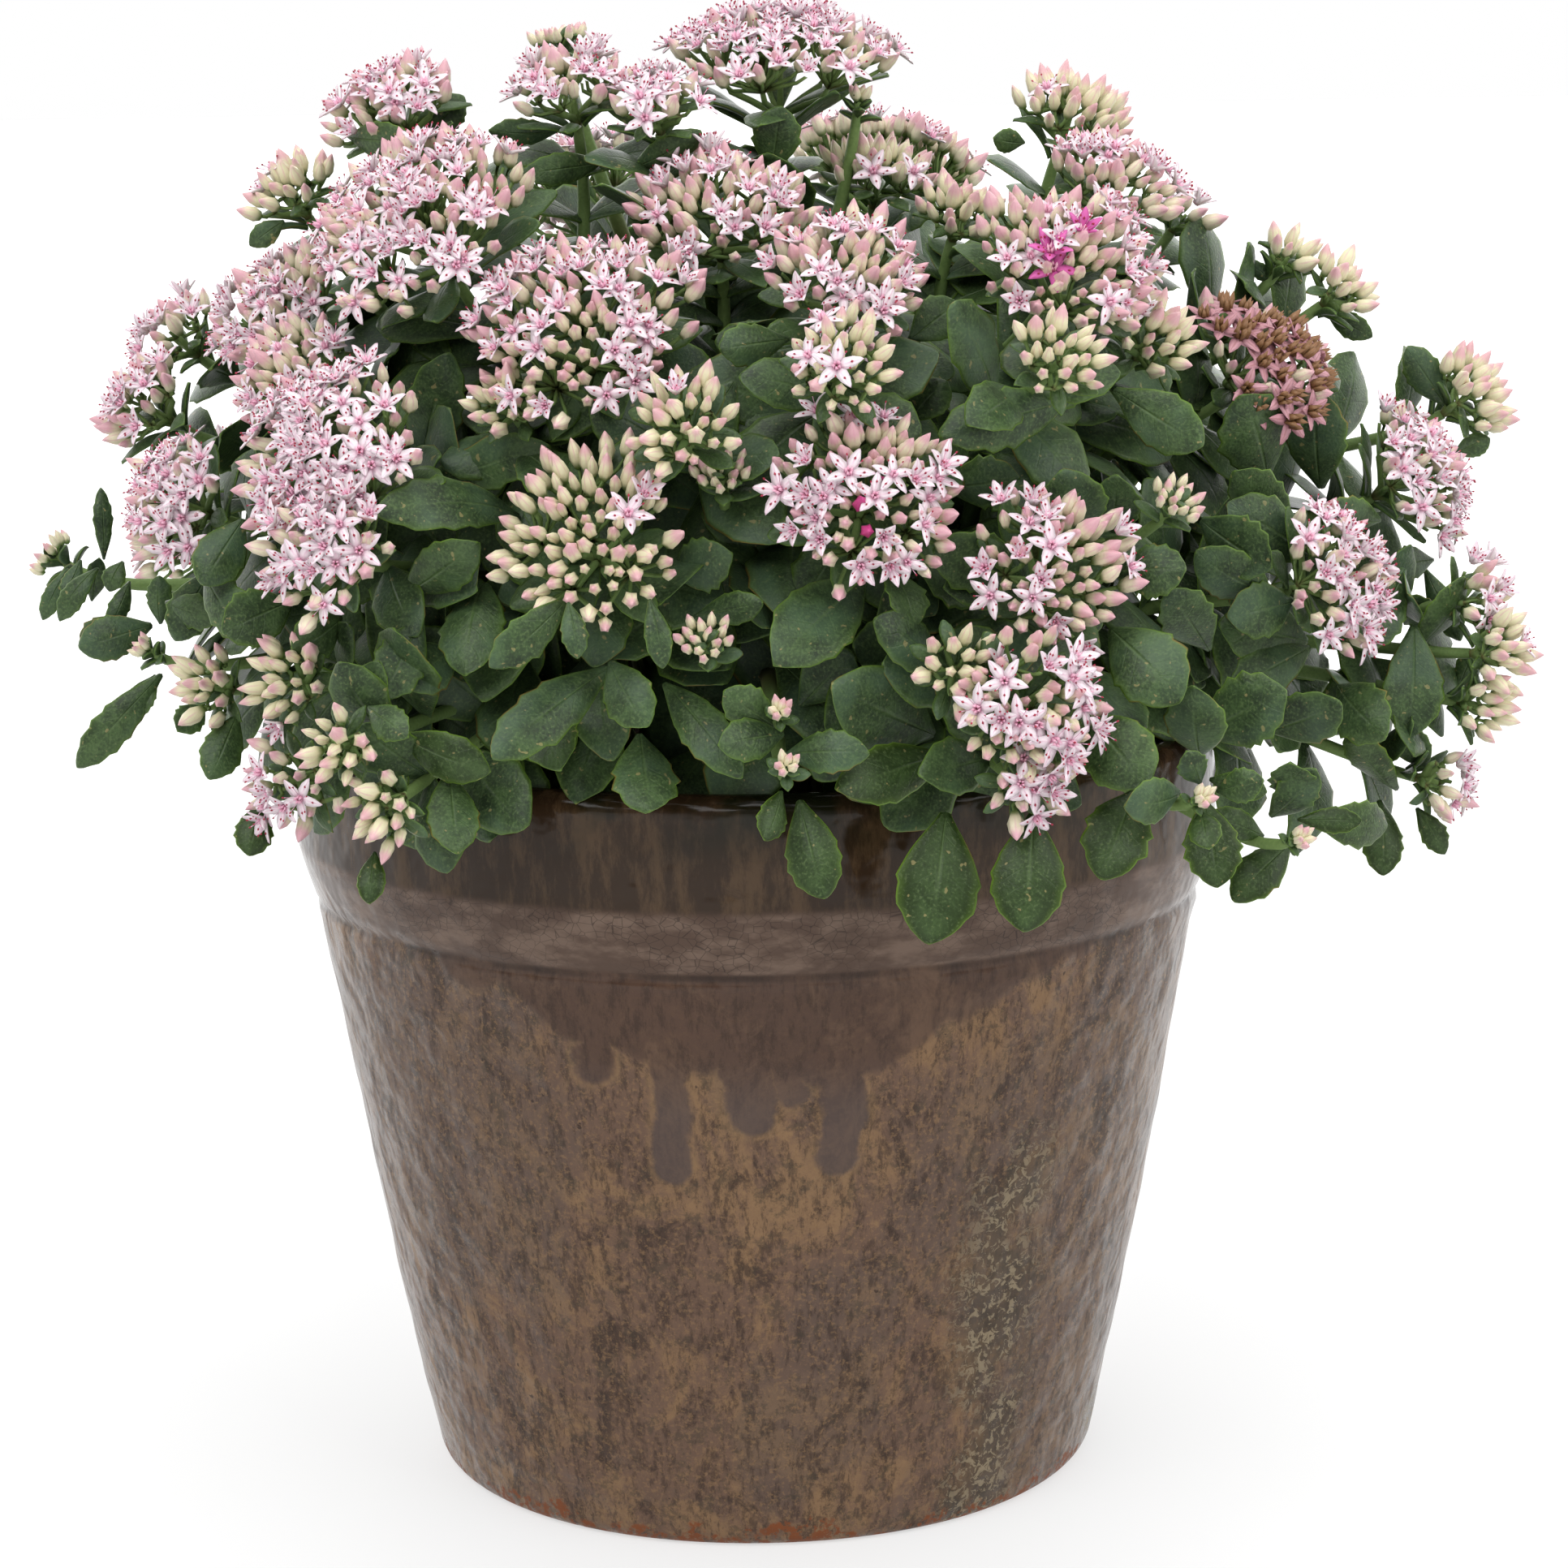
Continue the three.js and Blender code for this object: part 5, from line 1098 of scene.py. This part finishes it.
runGroup = makeRunGroup()
glaze = {
    "brown": tint(97, 75, 61), "dark": tint(46, 33, 26), "ochre": tint(127, 99, 70),
    "olive": tint(56, 49, 38), "ash": tint(136, 122, 98), "blue": tint(78, 66, 60),
    "band": tint(78, 61, 51), "bandPale": tint(106, 88, 76), "rim": tint(48, 34, 22),
    "rimPale": tint(76, 58, 40), "run": tint(72, 53, 43), "runEnd": tint(78, 66, 62),
    # Next line: a greenish near-black that darkens the rim in patches near its top
    "halo": tint(124, 98, 70), "darkTop": tint(20, 22, 10), "rust": tint(112, 62, 32), "crack": tint(34, 25, 20),
    "rough": 0.17, "shine": 0.14, "coat": 0.14, "coatRough": 0.06, "bumpDepth": 0.0016,
    "crustMiddle": 0.077, "crustHalf": 0.026,
}
# Mottling of the wall, laid on in this order: colour, share, soft step, rise, and the noise's scale, detail,
# roughness and warp
mottles = [
    ("blue", 0.5, (0.48, 0.56), 0.5, (16, 4.0, 0.6)), ("dark", 0.72, (0.5, 0.61), 0.6, (75, 9.0, 0.78, 0.6)),
    ("dark", 0.65, (0.48, 0.62), 0.28, (360, 5.0, 0.75)), ("olive", 0.5, (0.53, 0.6), 1, (150, 8.0, 0.78)),
    ("ochre", 0.55, (0.5, 0.64), 1, (700, 4.0, 0.75)), ("dark", 0.8, (0.72, 0.77), 1, (420, 2.0)),
]


def makeGlazeMaterial():
    material, tree, shader = newMaterial("glaze")
    look, spot = glaze, objectPlace(tree)
    top, lip, crease, bandTop, thickFrom = (mm * length for length in (
        pot["height"], pot["lip"], pot["creaseHeight"], pot["bandTop"], apron["height"]))
    x, y, z = put(tree, "ShaderNodeSeparateXYZ", {"Vector": spot}).outputs
    around = times(tree, calc(tree, "ARCTAN2", x, times(tree, y, -1.0)), pot["gauge"] * mm)
    wobble = total(tree, -0.007, (noise(tree, spot, 45, 5.0, 0.6), 0.014))
    # mottled body: brown and ochre clouds drawn out downwards, with olive, ash and dark flecks
    clouds = noise(tree, objectPlace(tree, 0.8), 34, 10.0, 0.72, 1.0)
    colour = laid(tree, look["brown"], look["ochre"], fade(tree, clouds, 0.46, 0.6), 0.8)
    grains = []
    for paint, share, step, rise, kind in mottles:
        grains.append(noise(tree, objectPlace(tree, rise), *kind))
        colour = laid(tree, colour, look[paint], fade(tree, grains[-1], *step), share)
    # crusty pale squiggles on an olive ground: one patch low on the right, others where a slow noise is high
    aside = calc(tree, "SUBTRACT", total(tree, around, (wobble, 2.0)), look["crustMiddle"])
    patch = times(tree, fade(tree, calc(tree, "ABSOLUTE", aside), look["crustHalf"], 0.004),
                  fade(tree, z, 0.13, 0.1), blotches(tree, spot, 0.36, 0.5, 38, 3.0))
    patch = calc(tree, "MAXIMUM", patch, blotches(tree, spot, 0.7, 0.75, 14, 2.0))
    colour = laid(tree, colour, look["olive"], patch, 0.65)
    crust = times(tree, patch, blotches(tree, spot, 0.52, 0.57, 330, 4.0, 0.7, 1.2))
    colour = laid(tree, colour, look["ash"], crust, 0.75)
    # smooth darker glaze that ran down from the crease, in fingers with a pale halo
    sway = calc(tree, "SINE", total(tree, apron["start"], (around, apron["turns"] / mm)))
    ragged = noise(tree, objectPlace(tree, 0.2), 22, 3.0)
    edge = total(tree, z, (ragged, 0.05), (sway, -apron["sway"] * mm))
    inside, halo = fade(tree, edge, thickFrom + 0.025, thickFrom + 0.029), 0.0
    wavy = calc(tree, "ADD", around, wobble)
    for centre, half, end in glazeRuns:
        place = {"Around": wavy, "Height": z, "Centre": centre * mm, "Half Width": half * mm, "End": end * mm}
        run = put(tree, "ShaderNodeGroup", place, node_tree=runGroup)
        inside = calc(tree, "MAXIMUM", inside, run.outputs["Inside"])
        halo = calc(tree, "MAXIMUM", run.outputs["Halo"], halo)
    outside = calc(tree, "SUBTRACT", 1.0, inside)
    halo = times(tree, halo, outside, blotches(tree, spot, 0.36, 0.56, 130, 5.0, 0.7))
    thick = laid(tree, look["run"], look["dark"], fade(tree, grains[2], 0.42, 0.66), 0.6)
    thick = laid(tree, thick, look["brown"], fade(tree, clouds, 0.5, 0.64), 0.5)
    thick = laid(tree, thick, look["runEnd"], fade(tree, z, thickFrom - 0.007, thickFrom - 0.027), 0.8)
    colour = laid(tree, colour, thick, inside, 0.85)
    colour = laid(tree, colour, look["halo"], halo, 0.6)
    # light crackled band
    cloudy = blotches(tree, objectPlace(tree, 2.5), 0.4, 0.65, 60, 4.0, 0.6)
    band = laid(tree, look["band"], look["bandPale"], cloudy)
    web = put(tree, "ShaderNodeTexVoronoi", {"Vector": objectPlace(tree, 1.3), "Scale": 340.0},
              feature="DISTANCE_TO_EDGE").outputs["Distance"]
    craze = times(tree, fade(tree, web, 0.045, 0.012), blotches(tree, spot, 0.36, 0.52, 26, 2.0), 0.6)
    band = laid(tree, band, look["crack"], craze)
    colour = laid(tree, colour, band, fade(tree, z, crease + 0.0001, crease + 0.0021),
                  fade(tree, z, bandTop + 0.0018, bandTop - 0.0017))
    # dark rim, darker in patches near the top
    streaks = blotches(tree, objectPlace(tree, 0.28), 0.44, 0.62, 120, 8.0, 0.75)
    rim = laid(tree, look["rim"], look["rimPale"], streaks)
    rim = laid(tree, rim, look["dark"], fade(tree, clouds, 0.55, 0.64), 0.5)
    darkTop = times(tree, fade(tree, z, top - 0.022, top), blotches(tree, spot, 0.38, 0.6, 40, 4.0, 0.6))
    rim = laid(tree, rim, look["darkTop"], darkTop)
    uneven = total(tree, z, (wobble, 0.15))
    colour = laid(tree, colour, rim, fade(tree, uneven, bandTop - 0.0012, bandTop + 0.0018))
    # dark line in the crease
    line = times(tree, fade(tree, z, crease - 0.0016, crease - 0.0002),
                 fade(tree, z, crease + 0.0016, crease + 0.0004), 0.6)
    colour = laid(tree, colour, look["crack"], line, blotches(tree, spot, 0.35, 0.6, 40, 3.0))
    # worn foot: rusty chips along the bottom edge
    low = total(tree, z, (noise(tree, spot, 40, 5.0, 0.7), -0.034))
    chips = times(tree, fade(tree, low, -0.0115, -0.0135), blotches(tree, spot, 0.44, 0.54, 260, 4.0, 0.75))
    colour = laid(tree, colour, look["rust"], chips)
    # inner wall above the soil
    reach = calc(tree, "SQRT", total(tree, times(tree, x, x), (y, y)))
    inner = times(tree, fade(tree, reach, lip - 0.0095, lip - 0.0105),
                  calc(tree, "GREATER_THAN", z, bandTop + 0.0013))
    colour = laid(tree, colour, look["dark"], inner)
    rough = total(tree, look["rough"], (crust, 0.25), (chips, 0.4), (inside, -0.08), (clouds, 0.12))
    calm = total(tree, 1.0, (inside, -0.6))
    dimples = times(tree, noise(tree, objectPlace(tree, 1.2), 80, 2.0, 0.45), calm)
    height = total(tree, 0.0, (dimples, 2.2), (inside, 0.8))
    dress(tree, shader, colour, rough, height, look["bumpDepth"], 0.8, look["shine"])
    feed(tree, shader, {"Coat Weight": look["coat"], "Coat Roughness": look["coatRough"]})
    return material


makePot(makeGlazeMaterial())
print("pot made")


# Soil: a lumpy disc on its own ground, closed below, with crumbs of bark and grit on it
soil = {"radius": 123.0, "top": 206.0, "low": 168.0, "crumbs": 420, "crumbSize": (1.0, 3.4),
        "dark": tint(40, 29, 22), "light": tint(78, 58, 44), "crumb": tint(112, 90, 68)}


def makeSoilMaterial():
    material, tree, shader = newMaterial("soil")
    spot = objectPlace(tree)
    colour = laid(tree, soil["dark"], soil["light"], blotches(tree, spot, 0.4, 0.65, 140, 5.0, 0.7))
    colour = laid(tree, colour, soil["crumb"], fade(tree, mask(tree, "tone"), 0.4, 1.0), 0.7)
    dress(tree, shader, colour, 0.92, noise(tree, spot, 500, 4.0, 0.7), 0.0012, 1.0)
    return material


# Upper face: height = top + small waves of radius and turn. Crumbs: lumps of two rings, each stretched anew
def makeSoil(material):
    pile = newPile()
    cols, rings = 96, 26
    turn = 2 * np.pi * np.arange(cols) / cols
    radius = np.linspace(soil["radius"], 3, rings)[:, None]
    lumps = 1.1 * np.sin(radius / 5 + 3 * turn) * np.cos(radius / 7 - 4 * turn)
    lumps = lumps + 0.7 * np.sin(radius / 2.6 + 9 * turn)
    inset = smooth(soil["radius"], soil["radius"] - 8, radius)
    height = soil["top"] - 1.2 * (1 - inset) + lumps * inset - 1.0
    upper = np.stack([radius * np.cos(turn), radius * np.sin(turn), height + 0 * turn], -1)
    wall = np.array([[soil["radius"] - 3], [soil["radius"] - 1.0]])
    wallHeight = np.array([[soil["low"]], [soil["low"] + 24]])
    lower = np.stack([wall * np.cos(turn), wall * np.sin(turn), wallHeight + 0 * turn], -1)
    rows = np.concatenate([lower, upper])[None]
    quads, tris = skinFaces(rings + 2, cols)
    points = skinPoints(rows, np.array([[0, 0, soil["low"]]]), np.array([[0, 0, soil["top"] - 1.0]]))
    heapUp(pile, points, quads, tris, 0.0, 0.0, 0.0)
    count = soil["crumbs"]
    reach, way = (soil["radius"] - 5) * np.sqrt(rng.uniform(0, 1, count)), rng.uniform(0, 2 * np.pi, count)
    spots = np.stack([reach * np.cos(way), reach * np.sin(way), np.full(count, soil["top"] + 0.2)], -1)
    turn = 2 * np.pi * np.arange(6) / 6
    low = np.stack([np.cos(turn), np.sin(turn), 0 * turn - 0.3], -1)
    ring = np.stack([low, low * [0.7, 0.7, 1] + [0, 0, 0.9]])
    size = rng.uniform(*soil["crumbSize"], (count, 1, 1, 1)) * rng.uniform(0.6, 1.3, (count, 1, 1, 3))
    lumpy = spots[:, None, None] + ring[None] * size * rng.uniform(0.75, 1.2, (count, 2, 6, 1))
    quads, tris = skinFaces(2, 6)
    ends = [lumpy.mean(axis=(1, 2)) + [[0, 0, shift]] for shift in (-1.4, 1.4)]
    heapUp(pile, skinPoints(lumpy, *ends), quads, tris, 0.0, 0.0, rng.uniform(0, 1, (count, 1)))
    makePiece("soil_crumbly", pile, [material], "soil")


makeSoil(makeSoilMaterial())
print("soil made")


# Plain pale floor that glows a little, more so far away. Sizes in metres
stage = {"halfWidth": 40.0, "grey": 0.3, "rough": 0.8, "glow": 0.6, "glowMore": 0.4, "moreFrom": 0.3,
         "moreTo": 2.0}
# Studio light round the plant: from behind, more of it low down, and a share less from straight ahead
studio = {"behind": 0.6, "low": 2.0, "ahead": 0.6, "aheadLess": -0.3}


def makeStage():
    mesh = bpy.data.meshes.new("floor")
    wide = stage["halfWidth"]
    corners = [(-wide, -wide, 0), (wide, -wide, 0), (wide, wide, 0), (-wide, wide, 0)]
    mesh.from_pydata(corners, [], [(0, 1, 2, 3)])
    floor = bpy.data.objects.new("floor", mesh)
    bpy.context.scene.collection.objects.link(floor)
    material, tree, shader = newMaterial("paleFloor")
    away = put(tree, "ShaderNodeVectorMath", {0: objectPlace(tree)}, operation="LENGTH").outputs["Value"]
    more = fade(tree, away, stage["moreFrom"], stage["moreTo"])
    glow = total(tree, stage["glow"], (more, stage["glowMore"]))
    feed(tree, shader, {"Base Color": [stage["grey"]] * 3 + [1], "Roughness": stage["rough"],
                        "Emission Color": (1, 1, 1, 1), "Emission Strength": glow})
    mesh.materials.append(material)
    world = bpy.data.worlds.new("studio")
    world.use_nodes = True
    tree = world.node_tree
    sky = put(tree, "ShaderNodeTexCoord").outputs["Generated"]
    way = put(tree, "ShaderNodeSeparateXYZ", {"Vector": sky}).outputs
    low = total(tree, studio["behind"], (fade(tree, way[2], 0.75, 0.35), studio["low"]))
    ahead = total(tree, studio["ahead"], (fade(tree, way[1], 0.0, -0.7), studio["aheadLess"]))
    behind = times(tree, fade(tree, way[1], -0.1, 0.6), low)
    lit = total(tree, behind, (ahead, fade(tree, way[1], 0.5, 0.0)))
    soft = put(tree, "ShaderNodeCombineXYZ", {"X": lit, "Y": lit, "Z": lit}).outputs[0]
    shown = put(tree, "ShaderNodeLightPath").outputs["Is Camera Ray"]
    feed(tree, tree.nodes["Background"], {"Color": mixed(tree, shown, soft, (1, 1, 1, 1))})
    bpy.context.scene.world = world


# Area lights: place, size, power; each looks at the middle of the plant
lights = {"key": ((-0.8, -1.5, 1.9), 1.8, 35), "fill": ((1.4, -1.1, 1.4), 1.6, 22),
          "top": ((0.1, 0.2, 2.0), 1.4, 14)}


def makeLights():
    for name, (place, size, power) in lights.items():
        data = bpy.data.lights.new(name, "AREA")
        data.size, data.energy = size, power
        lamp = bpy.data.objects.new(name, data)
        matrix = np.eye(4)
        matrix[:3, :3] = axesAbout(np.array(place) - [0, 0, 0.25]).T
        matrix[:3, 3] = place
        lamp.matrix_world = Matrix(matrix.tolist())
        bpy.context.scene.collection.objects.link(lamp)


makeStage()
makeLights()
bpy.context.scene.view_settings.view_transform = "Standard"
largest = max(triangleCount, key=triangleCount.get)
print("stage made; triangles:", sum(triangleCount.values()), "largest:", largest, triangleCount[largest])
